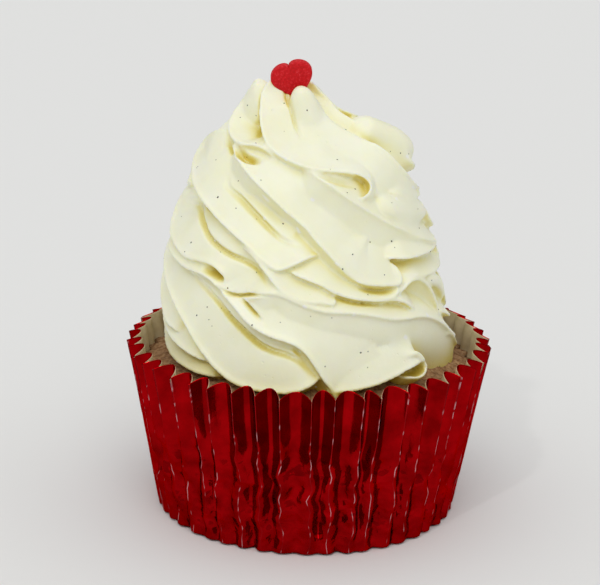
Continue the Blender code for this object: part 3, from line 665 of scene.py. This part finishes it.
def icing_colour(finish):
    """Ivory with painted shade, yellower down in the creases and in the wide hollows; mottled; and
    paler on its edges, a painted highlight.
    """
    # painted shade: yellower where the surface is shut in, down in a crease
    creases = finish.ramp(
        open_sky(finish, 6 * MM),
        (0.06, PAINTED_CREASE_SHADE), (0.3, PAINTED_HOLLOW_SHADE), (0.55, PAINTED_SOFT_SHADE), (0.82, IVORY),
    )
    # painted highlight: paler where the surface is sharp, on the thin edges
    edge = finish.ramp(
        finish.node("NewGeometry", {}).outputs["Pointiness"], (0.53, grey(0.0)), (0.60, grey(1.0))
    )
    mottle = finish.ramp(finish.noise(6 * MM, 3), (0.3, CREAM), (0.7, WHITE))
    body = finish.mix(1.0, creases, mottle, "MULTIPLY")
    # painted shade over the wide hollows and the undersides
    hollows = finish.ramp(open_sky(finish, 24 * MM), (0.22, SHADED_CREAM), (0.68, WHITE))
    body = finish.mix(1.0, body, hollows, "MULTIPLY")
    return finish.mix(edge, body, PAINTED_EDGE_HIGHLIGHT)


def icing_finish():
    """Vanilla butter icing: satin, light soaking into it, with patches of small bubbles."""
    finish = Finish("vanilla_icing", {
        "Roughness": 0.4,
        "Specular IOR Level": 0.45,
        "Subsurface Weight": 0.35,
        "Subsurface Radius": (1.0, 0.85, 0.3),
        "Subsurface Scale": 1.0 * MM,
    })
    finish.join(icing_colour(finish), "Base Color")
    pits = finish.ramp(finish.cells(1.7 * MM), (0.05, grey(0.0)), (0.13, grey(1.0)))
    unbroken = finish.ramp(finish.noise(7 * MM, 2), (0.47, grey(1.0)), (0.6, grey(0.0)))
    bubbles = finish.bump(finish.maths("MAXIMUM", pits, unbroken), 0.12 * MM, 0.5)
    pocks = finish.bump(finish.noise(0.9 * MM, 3, 0.6), 0.045 * MM, 0.5, bubbles)
    finish.join(finish.bump(finish.noise(0.25 * MM, 2), 0.010 * MM, 0.5, pocks), "Normal")
    return finish.material


def seed_finish():
    """The black of vanilla seed, browner in places."""
    finish = Finish("vanilla_seed", {"Roughness": 0.5})
    colour = finish.ramp(finish.noise(1 * MM, 1), (0.35, SEED_BLACK), (0.7, SEED_BROWN))
    finish.join(colour, "Base Color")
    return finish.material


def sugar_finish():
    """Pressed sugar, coloured red: matt, finely grained, with a few pale grains."""
    finish = Finish("red_sugar", {"Roughness": 0.6, "Specular IOR Level": 0.25, "Subsurface Weight": 0.08})
    grains = finish.noise(0.5 * MM, 4, 0.65)
    red = finish.ramp(grains, (0.3, DARK_SUGAR), (0.55, RED_SUGAR), (0.76, PALE_SUGAR))
    finish.join(red, "Base Color")
    finish.join(finish.bump(finish.noise(0.22 * MM, 3, 0.7), 0.05 * MM, 0.7), "Normal")
    return finish.material


# ======== the case


def knotted(knots, values, at):
    """Straight lines between the knots, for several rows of values at once."""
    return np.stack([np.interp(at, knots, row) for row in values], axis=0)


def crease_turns(rng, share):
    """The turn of every place across every pleat, at each row: a crease strays to the side by a random
    part of a pleat, and wanders on its way up."""
    spread = rng.uniform(-CREASE_SPREAD, CREASE_SPREAD, PLEATS)
    jogs = rng.uniform(-1, 1, (PLEATS, len(JOG_KNOTS))) * JOG_SIZES
    jog = knotted(JOG_KNOTS, jogs, share)
    turn = 2 * math.pi * (np.arange(PLEATS) + spread)[:, None] / PLEATS + jog / RIM_RADIUS
    following = np.roll(turn, -1, axis=0)
    following[-1] += 2 * math.pi
    angles = turn[..., None] + (following - turn)[..., None] * ACROSS
    return np.moveaxis(angles, 0, 1).reshape(WALL_ROWS, -1)


def pleat_depths(rng, share):
    """The pleats' depth at each row, deeper towards the rim and less where a pleat is flat."""
    flatness = 1 - rng.uniform(0, FLAT_SPREAD, (PLEATS, len(JOG_KNOTS))) * FLAT_SHARES
    depth = PLEAT_DEPTH_BASE + (PLEAT_DEPTH_RIM - PLEAT_DEPTH_BASE) * share**PLEAT_DEPTH_POWER
    depth = depth * np.clip(knotted(JOG_KNOTS, flatness, share), *PLEAT_DEPTH_LIMITS)
    return depth.T


def press_dents(rng, inward, around, height, share):
    """Adds the wall's dents to how far it lies in: each is its depth x (1 - distance / radius)."""
    turns = rng.uniform(0, 2 * math.pi, DENTS)
    heights = rng.uniform(*DENT_HEIGHTS, DENTS)
    radii = rng.uniform(*DENT_RADII, DENTS)
    depths = rng.uniform(*DENT_DEPTHS, DENTS) * rng.choice(DENT_SIGNS, DENTS)
    for turn, level, radius, deep in zip(turns, heights, radii, depths):
        sideways = (np.mod(around - turn + math.pi, 2 * math.pi) - math.pi) * BASE_RADIUS
        reach = np.hypot(sideways, DENT_SQUASH * (height - level)) / radius
        inward += deep * np.clip(1 - reach, 0, 1) * (share[:, None] < DENTED_SHARE)


def wall_grid():
    """The foil's outer wall, rows by columns: radius = a cone's, less a channel between two creases
    that is (sine of the way across) to a power that falls with height, less cone-shaped dents. The rim
    falls back at the pleats' tips."""
    rng = np.random.default_rng(CASE_SEED)
    share = np.linspace(0, 1, WALL_ROWS) ** ROW_SPACING
    around = crease_turns(rng, share)
    depth = pleat_depths(rng, share)
    power = np.interp(share, CHANNEL_KNOTS, CHANNEL_POWERS)
    channel = np.sin(math.pi * ACROSS) ** power[:, None]
    inward = (depth[..., None] * channel[:, None]).reshape(around.shape)
    drop = rng.uniform(0, RIM_DROP, PLEATS)
    height = np.repeat(CASE_HEIGHT * share[:, None], around.shape[1], axis=1)
    press_dents(rng, inward, around, height, share)
    radius = BASE_RADIUS + (RIM_RADIUS - BASE_RADIUS) * share[:, None] - np.maximum(inward, 0)
    outward = np.tile(1 - channel, PLEATS)
    dropped = (PLEAT_TIP_DROP * outward + np.repeat(drop, len(ACROSS))) * share[:, None] ** RIM_DROP_POWER
    return np.stack((radius * np.sin(around), -radius * np.cos(around), height - dropped), axis=-1)


def wall_normals(points):
    """Outward normals of the wall: the cross product of its two directions."""
    around = np.roll(points, -1, axis=1) - np.roll(points, 1, axis=1)
    upward = np.gradient(points, axis=0)
    return unit(np.cross(around, upward))


def layer_skin(name, outside, inside, floor_level, floor_height):
    """A layer of the case as one closed skin: its floor, its outer wall, its cut edge, its inner wall
    and the floor's upper side."""
    flat = np.array([1, 1, 0])
    foot = outside[0] * flat + (0, 0, floor_level)
    inner_foot = inside[0] * flat + (0, 0, floor_height)
    rings = [foot * (share, share, 1) for share in (FLOOR_MIDDLE, FLOOR_EDGE)]
    rings += list(outside[1:]) + list(inside[:0:-1])
    rings += [inner_foot * (share, share, 1) for share in (FLOOR_EDGE_INSIDE, FLOOR_MIDDLE)]
    return skin(name, np.array(rings), (0, 0, floor_level), (0, 0, floor_height))


def wear_and_glint_on_creases():
    """How bare of lacquer each point of the wall is, some of it painted glints: strong on a crease,
    in broken stretches.
    """
    rows = np.linspace(0, CASE_HEIGHT, WALL_ROWS)
    near = np.interp(np.minimum(ACROSS, 1 - ACROSS), (0, WEAR_GLINT_REACH), (1, 0))
    columns = np.arange(PLEATS)[None, :] * WEAR_GLINT_STEP
    places = np.stack(np.broadcast_arrays(columns, 0.0, rows[:, None]), axis=-1)
    broken = clouds(places, WEAR_GLINT_SIZES[0], WEAR_GLINT_SEEDS[0])
    broken = broken + FINE_WEAR_GLINT * clouds(places, WEAR_GLINT_SIZES[1], WEAR_GLINT_SEEDS[1])
    broken = broken + np.interp(rows, WEAR_GLINT_KNOTS, WEAR_GLINT_SHIFTS)[:, None]
    strength = np.clip(broken * WEAR_GLINT_GAIN - WEAR_GLINT_LOSS, WEAR_GLINT_LEAST, 1)
    return (strength[..., None] * near).reshape(WALL_ROWS, -1)


def build_foil(wall, normals):
    """The red foil, with its rubbed creases and painted glints, and how crumpled it is. Its floor's two
    rings come before the rows of its wall, of which the lowest is the floor's edge."""
    mesh = layer_skin("red_foil_case", wall, wall - FOIL_THICKNESS * normals, 0.0, FOIL_THICKNESS)
    floor = np.zeros((2, wall.shape[1]))
    crumple = np.clip(CRUMPLE_BASE - CRUMPLE_FALL * np.linspace(0, 1, WALL_ROWS), 0, 1)
    crumple = crumple[:, None] * np.ones(wall.shape[1])
    set_attribute(mesh, "wear_and_glint", np.vstack((floor, wear_and_glint_on_creases()[1:])))
    set_attribute(mesh, "crumple", np.vstack((floor, crumple[1:])))
    case = add_piece("red_foil_case", mesh, foil_finish())
    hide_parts("foil_case")


def build_lining(wall, normals):
    """The paper inside the foil, hanging a little off it below. Returns its inner side."""
    slack = PAPER_SLACK * np.interp(np.linspace(0, 1, WALL_ROWS), SLACK_KNOTS, SLACK_SHARES)
    outside = wall - (FOIL_THICKNESS + LAYER_GAP) * normals - slack[:, None, None] * unit(wall * (1, 1, 0))
    inside = outside - PAPER_THICKNESS * normals
    for layer in (outside, inside):
        layer[-1, :, 2] -= PAPER_SHORT
    fine = WALL_ROWS - PAPER_FINE_ROWS
    rows = np.r_[0, np.arange(3, fine, 6), np.arange(fine, WALL_ROWS, 2), WALL_ROWS - 1]
    mesh = layer_skin("paper_lining", outside[rows], inside[rows], 2 * FOIL_THICKNESS, 5 * FOIL_THICKNESS)
    add_piece("paper_lining", mesh, paper_finish())
    return inside


def build_case():
    """The whole case. Returns the paper's inner side, which the cake lies against."""
    wall = wall_grid()
    normals = wall_normals(wall)
    build_foil(wall, normals)
    return build_lining(wall, normals)


# ======== the cake


def against_paper(ring):
    """The cake's outline at one row of the paper: radius = the narrowest one + the fill x what the
    paper has beyond it, so that it only partly fills the pleats."""
    ring = ring * (1, 1, 0)
    radius = np.linalg.norm(ring, axis=-1, keepdims=True)
    channel = radius.min() - CAKE_GAP
    return ring / radius * (channel + CAKE_FILL * (radius - CAKE_GAP - channel))


def build_cake(paper):
    """The cake as rings from the middle of its crown outwards and down the paper. Crown height =
    edge height + rise x (1 - (radius share) ** power), with three sizes of crumb on it."""
    level = paper[:, :, 2].mean(axis=1)
    edge_row = int(np.argmin(np.abs(level - CAKE_EDGE_HEIGHT)))
    shares = np.r_[HIDDEN_RINGS, SHOWN_RINGS, 1.0]
    crown = against_paper(paper[edge_row])[None] * shares[:, None, None]
    rise = CAKE_HEIGHT - CAKE_EDGE_HEIGHT
    crown[..., 2] = CAKE_EDGE_HEIGHT + rise * (1 - shares[:, None] ** CROWN_POWER)
    smooth_crown = crown.copy()
    for number, (size, height) in enumerate(CRUMB_SIZES):
        crown[..., 2] += height * clouds(smooth_crown, size, CRUMB_SEED + number) - height * 0.5
    crown[-1, :, 2] -= EDGE_DROP
    sides = []
    for row in (*(edge_row - below for below in ROWS_BELOW_EDGE), edge_row // 2, LOWEST_ROW):
        ring = against_paper(paper[row])
        ring[:, 2] = level[row]
        sides.append(ring)
    rings = np.vstack((crown, np.array(sides)))
    mesh = skin("cake", rings, (0, 0, CAKE_HEIGHT - CROWN_DROP), (0, 0, level[LOWEST_ROW]))
    cake = add_piece("brown_cake", face_out(mesh), cake_finish())
    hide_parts("cake")


# ======== the swirl


def swirl_outline(height):
    """The outline's lean to the right and its radius at these heights."""
    levels, leans, radii = SWIRL_OUTLINE.T
    return np.interp(height, levels, leans), np.interp(height, levels, radii)


def on_swirl(turn, height):
    """The points of the swirl's outline at these turns (radians) and heights."""
    lean, radius = swirl_outline(height)
    return np.stack((lean + radius * np.sin(turn), -radius * np.cos(turn), height + 0 * turn), axis=-1)


def facing(turn, height):
    """Where the outline faces: level on the swirl's sides, rising over its shoulder."""
    above, below = swirl_outline(height + FACING_REACH)[1], swirl_outline(height - FACING_REACH)[1]
    lift = np.clip(np.arctan((below - above) / (2 * FACING_REACH)), *FACING_LIMITS)
    return np.stack((np.cos(lift) * np.sin(turn), -np.cos(lift) * np.cos(turn), np.sin(lift)), axis=-1)


def between(knots, low, high, at, first, last):
    """From first to last as at goes from the low knot to the high one."""
    return ((knots[high] - at) * first + (at - knots[low]) * last) / (knots[high] - knots[low])


def smooth_course(stations, count):
    """Evenly spaced points on a centripetal Catmull-Rom curve through the stations."""
    points = np.vstack((2 * stations[0] - stations[1], stations, 2 * stations[-1] - stations[-2]))
    knots = np.r_[0, np.cumsum(np.linalg.norm(np.diff(points, axis=0), axis=1) ** 0.5)]
    pieces = []
    for i in range(1, len(points) - 2):
        at = np.linspace(knots[i], knots[i + 1], STEPS_BETWEEN)[:, None]
        first = between(knots, i - 1, i, at, points[i - 1], points[i])
        second = between(knots, i, i + 1, at, points[i], points[i + 1])
        third = between(knots, i + 1, i + 2, at, points[i + 1], points[i + 2])
        early = between(knots, i - 1, i + 1, at, first, second)
        late = between(knots, i, i + 2, at, second, third)
        pieces.append(between(knots, i, i + 1, at, early, late))
    curve = np.vstack(pieces)
    travelled = np.r_[0, np.cumsum(np.linalg.norm(np.diff(curve, axis=0), axis=1))]
    even = np.linspace(0, travelled[-1], count)
    return np.stack([np.interp(even, travelled, column) for column in curve.T], axis=1)


def course_on_swirl(stations, back, count):
    """A smooth course over the outline through stations of (degrees round from the front, height),
    turned back by so many degrees: its points, and the turn and height of each."""
    stations = np.array(stations, float)
    turn = np.radians(stations[:, 0] + back)
    level = stations[:, 1]
    course = smooth_course(np.column_stack((on_swirl(turn, level), turn, level)), count)
    return course[:, :3], course[:, 3], course[:, 4]


def wedge_side(width, height, power, tip, root):
    """One side of a fold's cross-section, from its crest to its root, for every place along it: a
    quarter circle, then depth = fin x (1 - e^(-way)) + the rest x (share of the width) ** power, then
    straight down to the root. Returns the ways out and the depths."""
    bend = np.linspace(0, math.pi / 2, STEPS_IN_TIP)[None, :]
    share = np.linspace(0, 1, STEPS_IN_SPAN)[None, 1:] ** SPAN_CROWDING
    span = np.maximum(width - tip, LEAST_SPAN)
    way = share * span
    fin = FIN_DEPTH * (1 - np.exp(-way / FIN_WIDTH))
    fallen = tip + fin + max(height - tip - FIN_DEPTH, LEAST_SPAN) * share**power
    out = np.concatenate((tip * np.sin(bend) + 0 * width, tip + way, tip + span), axis=1)
    round_tip = tip * (1 - np.cos(bend)) + 0 * width
    depth = np.concatenate((round_tip, fallen, 0 * width + root), axis=1)
    return out, depth


def crest_frame(fold, back):
    """A fold's crest, and at each place along it the way out, the way across towards the face, and how
    sharply it bends that way. Also the crest's length."""
    course, turn, level = course_on_swirl(fold["crest"], back, STEPS_ALONG)
    outward = facing(turn, level)
    crest = course + fold.get("proud", 0) * outward
    along = unit(np.gradient(crest, axis=0))
    outward = unit(outward - np.sum(outward * along, axis=1, keepdims=True) * along)
    across = np.cross(outward, along)
    length = np.linalg.norm(np.diff(crest, axis=0), axis=1).sum()
    bend = np.sum(np.gradient(along, axis=0) * across, axis=1) * (STEPS_ALONG - 1) / length
    return crest, outward, across, smoothed(bend, BEND_SMOOTHING), length


def face_width(fold, share, bend, length):
    """Width of a fold's face along it: narrower towards a tapered end, and never past the middle of a
    bend, unless the crest turns round a cut end there."""
    start, end = fold["face"]
    width = start + (end - start) * share
    if "taper" in fold:
        to_end = np.clip((1 - share) * length / fold["taper"], 0, 1)
        width = width * (TAPER_LEAST + (1 - TAPER_LEAST) * to_end * to_end * (3 - 2 * to_end))
    if "corner" not in fold:
        width = np.minimum(width, BEND_ROOM / np.maximum(bend, 1e-3))
    return smoothed(width, WIDTH_SMOOTHING)[:, None]


def flank_width(fold, share, bend):
    """Width of a fold's flank along it, never past the middle of a bend."""
    start, end = fold["flank"]
    width = np.minimum(start + (end - start) * share, BEND_ROOM / np.maximum(-bend, 1e-3))
    return smoothed(width, WIDTH_SMOOTHING)[:, None]


def fold_rings(fold, back):
    """Rings of one fold along its crest. Each ring is a thin wedge, wider on the face's side than on
    the flank's, its tip leaning over the flank, its ends rounded and sunk."""
    crest, outward, across, bend, length = crest_frame(fold, back)
    share = np.linspace(0, 1, STEPS_ALONG)
    tip = fold.get("tip", FOLD_TIP)
    face_full, flank_full = fold.get("full", PLAIN_FULL)
    face_deep, flank_deep = fold["deep"]
    root = max(fold["deep"]) + FOLD_ROOT
    flank = flank_width(fold, share, bend)
    face = face_width(fold, share, bend, length)
    flank_reach, flank_depth = wedge_side(flank, flank_deep, flank_full, tip, root)
    face_reach, face_depth = wedge_side(face, face_deep, face_full, tip, root)
    sideways = np.concatenate((-flank_reach[:, ::-1], face_reach[:, 1:]), axis=1)
    depth = np.concatenate((flank_depth[:, ::-1], face_depth[:, 1:]), axis=1)
    sideways = sideways + FOLD_LEAN * (1 - np.clip(1 - depth / (root - FOLD_ROOT), 0, 1) ** 2)
    from_end = np.minimum(1, np.minimum(share, 1 - share) * length / max(FOLD_END, tip))
    rounding = np.sqrt(1 - (1 - from_end) ** 2)[:, None]
    sideways = sideways * (END_WIDTH + (1 - END_WIDTH) * rounding)
    for amount, distance in zip(fold.get("sink", PLAIN_SINK), (share, 1 - share)):
        depth = depth + (amount * np.clip(1 - distance * length / SINK_RUN, 0, 1) ** 2)[:, None]
    depth = depth + max(END_DROP, tip) * (1 - rounding)
    return crest[:, None] + across[:, None] * sideways[..., None] - outward[:, None] * depth[..., None]


def bud_rings():
    """An egg of icing as level rings from its foot to its top: half sizes x (cosine of the rise x sine
    and cosine of the turn, sine of the rise), leaning to the left."""
    rise = np.linspace(-math.pi / 2, math.pi / 2, BUD_RINGS + 2)[1:-1, None]
    turn = np.linspace(0, 2 * math.pi, BUD_SIDES, endpoint=False)[None, :]
    flat = np.cos(rise)
    egg = np.stack((flat * np.sin(turn), -flat * np.cos(turn), np.sin(rise) + 0 * turn), axis=-1)
    egg = egg * BUD_SIZE
    egg[..., 0] -= BUD_LEAN * egg[..., 2]
    return np.array(BUD_MIDDLE) + egg


def press_hollows(mesh):
    """Presses each hollow into the swirl: points move inwards by its depth times (1 - (distance from
    its course, as seen from outside / half width) ** 2) ** 2, less towards its two ends."""
    points = vertices_of(mesh) / MM
    for stations, half_width, deep in HOLLOWS.values():
        line, turn, level = course_on_swirl(stations, 0, HOLLOW_STEPS)
        inwards = -facing(turn, level)
        low, high = line.min(axis=0) - HOLLOW_REACH, line.max(axis=0) + HOLLOW_REACH
        near = np.flatnonzero(np.all((points > low) & (points < high), axis=1))
        offset = points[near][:, None] - line[None]
        under = np.sum(offset * inwards[None], axis=2)
        beside = np.linalg.norm(offset - under[..., None] * inwards[None], axis=2)
        nearest = beside.argmin(axis=1)
        rows = np.arange(len(near))
        share = np.clip(1 - (beside[rows, nearest] / half_width) ** 2, 0, 1) ** 2
        to_end = np.minimum(nearest, len(line) - 1 - nearest)
        share = share * np.clip(HOLLOW_FADE * to_end / len(line), 0, 1)
        share = share * (np.abs(under[rows, nearest]) < HOLLOW_REACH)
        points[near] += deep * share[:, None] * inwards[nearest]
    mesh.vertices.foreach_set("co", (points * MM).ravel())
    mesh.update()


def flow_together(mesh):
    """Softens the swirl at each flow: points move, over and over, towards the average of their
    neighbours, by the pace x the flow's strength x twice (1 - distance / reach), which counts as at
    most 1."""
    points = vertices_of(mesh) / MM
    edges = np.empty(len(mesh.edges) * 2, np.int32)
    mesh.edges.foreach_get("vertices", edges)
    edges = edges.reshape(-1, 2)
    share = np.zeros(len(points))
    for turn, level, reach, strength in FLOWS.values():
        middle = on_swirl(np.array(math.radians(turn)), np.array(level))
        away = np.linalg.norm(points - middle, axis=1)
        share = np.maximum(share, strength * np.clip(2 * (1 - away / reach), 0, 1))
    near = share[edges].max(axis=1) > 0
    starts = np.concatenate((edges[near, 0], edges[near, 1]))
    ends = np.concatenate((edges[near, 1], edges[near, 0]))
    used, starts = np.unique(starts, return_inverse=True)
    ends = np.searchsorted(used, ends)
    moving = points[used]
    way = share[used][:, None] / np.bincount(starts)[:, None]
    for _ in range(FLOW_STEPS):
        pull = moving[ends] - moving[starts]
        total = np.stack([np.bincount(starts, column, len(used)) for column in pull.T], axis=1)
        moving = moving + FLOW_PACE * way * total
    points[used] = moving
    mesh.vertices.foreach_set("co", (points * MM).ravel())
    mesh.update()


def core_rings():
    """The middle of the swirl, as level rings: the outline's radius less the core's depth."""
    height = np.linspace(CORE_FOOT, CORE_TOP, CORE_ROWS)[:, None]
    turn = np.linspace(0, 2 * math.pi, CORE_SIDES, endpoint=False)[None, :]
    lean, radius = swirl_outline(height)
    radius = np.maximum(radius - CORE_DEPTH, CORE_LEAST)
    return np.stack((lean + radius * np.sin(turn), -radius * np.cos(turn), height + 0 * turn), axis=-1)


def joined(name, shells):
    """Several closed skins in one mesh."""
    shape = bmesh.new()
    for number, rings in enumerate(shells):
        shell = face_out(skin(f"{name}_{number}", rings * MM))
        shape.from_mesh(shell)
        bpy.data.meshes.remove(shell)
    mesh = bpy.data.meshes.new(name)
    shape.to_mesh(mesh)
    shape.free()
    return mesh


def finished_mesh(obj, name):
    """The object's mesh with its modifiers applied. The object is removed."""
    shown = obj.evaluated_get(bpy.context.evaluated_depsgraph_get())
    mesh = bpy.data.meshes.new_from_object(shown)
    mesh.name = name
    bpy.data.objects.remove(obj)
    return mesh


def join_shells():
    """The swirl's mesh: its core, its bud and all its folds as one skin, softened a little."""
    shells = [core_rings(), bud_rings()]
    for name, fold in FOLDS.items():
        shells.append(fold_rings(fold, 0))
        if name not in FRONT_ONLY:
            shells.append(fold_rings(fold, BACK_TURN))
    rough = add_object("swirl_shells", joined("swirl_shells", shells))
    remesh = rough.modifiers.new("Join", "REMESH")
    remesh.mode = "VOXEL"
    remesh.voxel_size = SWIRL_VOXEL
    soften = rough.modifiers.new("Soften", "SMOOTH")
    soften.factor = SOFTENING
    soften.iterations = SOFTEN_STEPS
    return finished_mesh(rough, "swirl_whole")


def build_swirl():
    """The swirl: one skin of all its folds, with its flows and its hollows, thinned to its size."""
    whole = join_shells()
    flow_together(whole)
    press_hollows(whole)
    fine = add_object("swirl_fine", whole)
    thin = fine.modifiers.new("Thin", "DECIMATE")
    thin.ratio = min(1.0, SWIRL_FACES / (2 * len(whole.polygons)))
    mesh = finished_mesh(fine, "vanilla_swirl")
    swirl = add_piece("vanilla_swirl", mesh, icing_finish())
    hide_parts("frosting")
    return swirl


# ======== seeds and heart


def plain_places(plain, middle):
    """The triangle of the icing under each plain seed: of those within the search of its place, the
    outermost."""
    turn, level = np.radians(plain[:, 0]), plain[:, 1]
    above = on_swirl(turn, level) * MM
    inwards = -facing(turn, level)
    offset = middle[:, None] - above[None]
    under = np.sum(offset * inwards[None], axis=2)
    beside = np.linalg.norm(offset - under[..., None] * inwards[None], axis=2)
    far = 1.0
    close = np.where(beside < SEED_SEARCH, under, far) + beside
    close = np.where(under < -SEED_SEARCH_OUT, far, close)
    return close.argmin(axis=0)


def scatter_seeds(swirl):
    """Flecks of vanilla seed: one small eight-sided pebble repeated over the icing, laid along the
    surface. The plain ones have their places; the rest fall on triangles picked by area, mostly at the
    sides and back."""
    rng = np.random.default_rng(SCATTER_SEED)
    mesh = swirl.data
    mesh.calc_loop_triangles()
    corners = np.empty(len(mesh.loop_triangles) * 3, np.int32)
    mesh.loop_triangles.foreach_get("vertices", corners)
    triangle = vertices_of(mesh)[corners.reshape(-1, 3)]
    middle = triangle.mean(axis=1)
    normal = np.cross(triangle[:, 1] - triangle[:, 0], triangle[:, 2] - triangle[:, 0])
    plain = np.array(FRONT_SEEDS)
    turn = np.abs(np.arctan2(middle[:, 0], -middle[:, 1]))
    likely = np.linalg.norm(normal, axis=1) * (middle[:, 2] > SEEDS_ABOVE)
    likely = likely * np.interp(turn, SIDE_TURNS, (FRONT_SHARE, 1))
    scattered = rng.choice(len(triangle), SEEDS, replace=False, p=likely / likely.sum())
    picked = np.concatenate((plain_places(plain, middle), scattered))
    out = unit(normal[picked])
    side = unit(np.cross(out, rng.normal(size=(len(picked), 3))))
    axes = np.stack((side, np.cross(out, side), out), axis=1)
    length = np.concatenate((plain[:, 2] * MM, rng.uniform(*SEED_LENGTHS, SEEDS)))
    width = length / 2 * rng.uniform(*SEED_WIDTHS, len(picked))
    size = np.stack((length / 2, width, length / 4), axis=1)
    points = middle[picked][:, None] + np.einsum("nij,pi->npj", axes * size[..., None], PEBBLE_POINTS)
    faces = PEBBLE_FACES[None] + len(PEBBLE_POINTS) * np.arange(len(picked))[:, None, None]
    made = bpy.data.meshes.new("vanilla_seeds")
    made.from_pydata(points.reshape(-1, 3).tolist(), [], faces.reshape(-1, 3).tolist())
    add_piece("vanilla_seeds", made, seed_finish())


def heart_outline():
    """The heart's outline: x = 16 sin^3 t, z = 13 cos t - 3 cos 2t - 1.2 cos 3t - 0.5 cos 4t, brought
    to its width and height."""
    t = np.linspace(0, 2 * math.pi, HEART_POINTS, endpoint=False)
    along_z = 13 * np.cos(t) - 3 * np.cos(2 * t) - 1.2 * np.cos(3 * t) - 0.5 * np.cos(4 * t)
    outline = np.stack((16 * np.sin(t) ** 3, 0 * t, along_z), axis=-1)
    outline *= (HEART_WIDTH / 32, 1, HEART_HEIGHT / np.ptp(along_z))
    outline[:, 2] -= (outline[:, 2].max() + outline[:, 2].min()) / 2
    return outline


def build_heart():
    """The heart as rings of its outline from the middle of its face, over a rounded edge, to the
    middle of its back."""
    outline = heart_outline()
    middle = np.array(HEART_MIDDLE)
    half = HEART_THICKNESS / 2
    inward = (middle - outline) / np.linalg.norm(outline - middle, axis=1, keepdims=True)
    edge = []
    for bend in np.radians(np.linspace(0, 90, HEART_EDGE_STEPS)):
        ring = outline + inward * HEART_EDGE * (1 - math.sin(bend))
        ring[:, 1] = HEART_EDGE * (1 - math.cos(bend)) - half
        edge.append(ring)
    edge += [ring * (1, -1, 1) for ring in edge[::-1]]
    face = [middle + (edge[0] - middle) * (share, 1, share) for share in HEART_FACE_RINGS]
    back = [middle + (edge[-1] - middle) * (share, 1, share) for share in HEART_FACE_RINGS[::-1]]
    rings = np.array(face + edge + back)
    mesh = skin("sugar_heart", rings, (0, -half, middle[2]), (0, half, middle[2]))
    centre = (heart_low + heart_high) / 2 + Vector(HEART_SHIFT)
    turned = Matrix.Translation(centre) @ Matrix.Rotation(HEART_TURN, 4, "Y")
    mesh.transform(turned @ Matrix.Rotation(HEART_TIP_BACK, 4, "X"))
    heart = add_piece("sugar_heart", face_out(mesh), sugar_finish())
    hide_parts("heart")


# ======== stage, lights and camera


def build_stage():
    corners = [(x * FLOOR_HALF, y * FLOOR_HALF, 0) for x, y in ((-1, -1), (1, -1), (1, 1), (-1, 1))]
    mesh = bpy.data.meshes.new("floor")
    mesh.from_pydata(corners, [], [(0, 1, 2, 3)])
    mesh.materials.append(Finish("floor", {"Base Color": FLOOR_GREY, "Roughness": 0.9}).material)
    floor = add_object("floor", mesh)


def build_lights():
    """A wide soft light from the front, a wider one from overhead, a small sharp one from the upper
    left, and even light all round."""
    for name, comes_from, strength, spread in LIGHTS:
        sun = bpy.data.lights.new(name, "SUN")
        sun.energy = strength
        sun.angle = math.radians(spread)
        sun.color = LAMP_WHITE
        lamp = add_object(name, sun)
        lamp.rotation_euler = (-Vector(comes_from)).to_track_quat("-Z", "Y").to_euler()
    world = bpy.data.worlds.new("studio")
    bpy.context.scene.world = world
    world.use_nodes = True
    background = world.node_tree.nodes["Background"]
    background.inputs["Color"].default_value = ROOM_WHITE
    background.inputs["Strength"].default_value = ROOM_STRENGTH


def build_camera():
    """The camera looks down at the cupcake's front, tipped a little to one side."""
    ahead = Vector((0, math.cos(CAMERA_DOWN), -math.sin(CAMERA_DOWN)))
    level_up = Vector((0, math.sin(CAMERA_DOWN), math.cos(CAMERA_DOWN)))
    level_right = Vector((1, 0, 0))
    right = level_right * math.cos(CAMERA_TIP) + level_up * math.sin(CAMERA_TIP)
    up = level_up * math.cos(CAMERA_TIP) - level_right * math.sin(CAMERA_TIP)
    rim_middle = Vector((0, 0, CASE_HEIGHT))
    place = rim_middle - ahead * CAMERA_DISTANCE - right * CAMERA_LEFT + up * CAMERA_RAISE
    lens = bpy.data.cameras.new("camera")
    lens.sensor_width = SENSOR_WIDTH
    lens.lens = SENSOR_WIDTH * CAMERA_DISTANCE / VIEW_WIDTH
    camera = add_object("camera", lens)
    axes = Matrix((right, up, -ahead)).transposed()
    camera.matrix_world = Matrix.Translation(place) @ axes.to_4x4()
    bpy.context.scene.camera = camera


build_camera()
build_cake(build_case())
swirl = build_swirl()
scatter_seeds(swirl)
build_heart()
build_stage()
build_lights()
bpy.context.scene.view_settings.view_transform = "Standard"
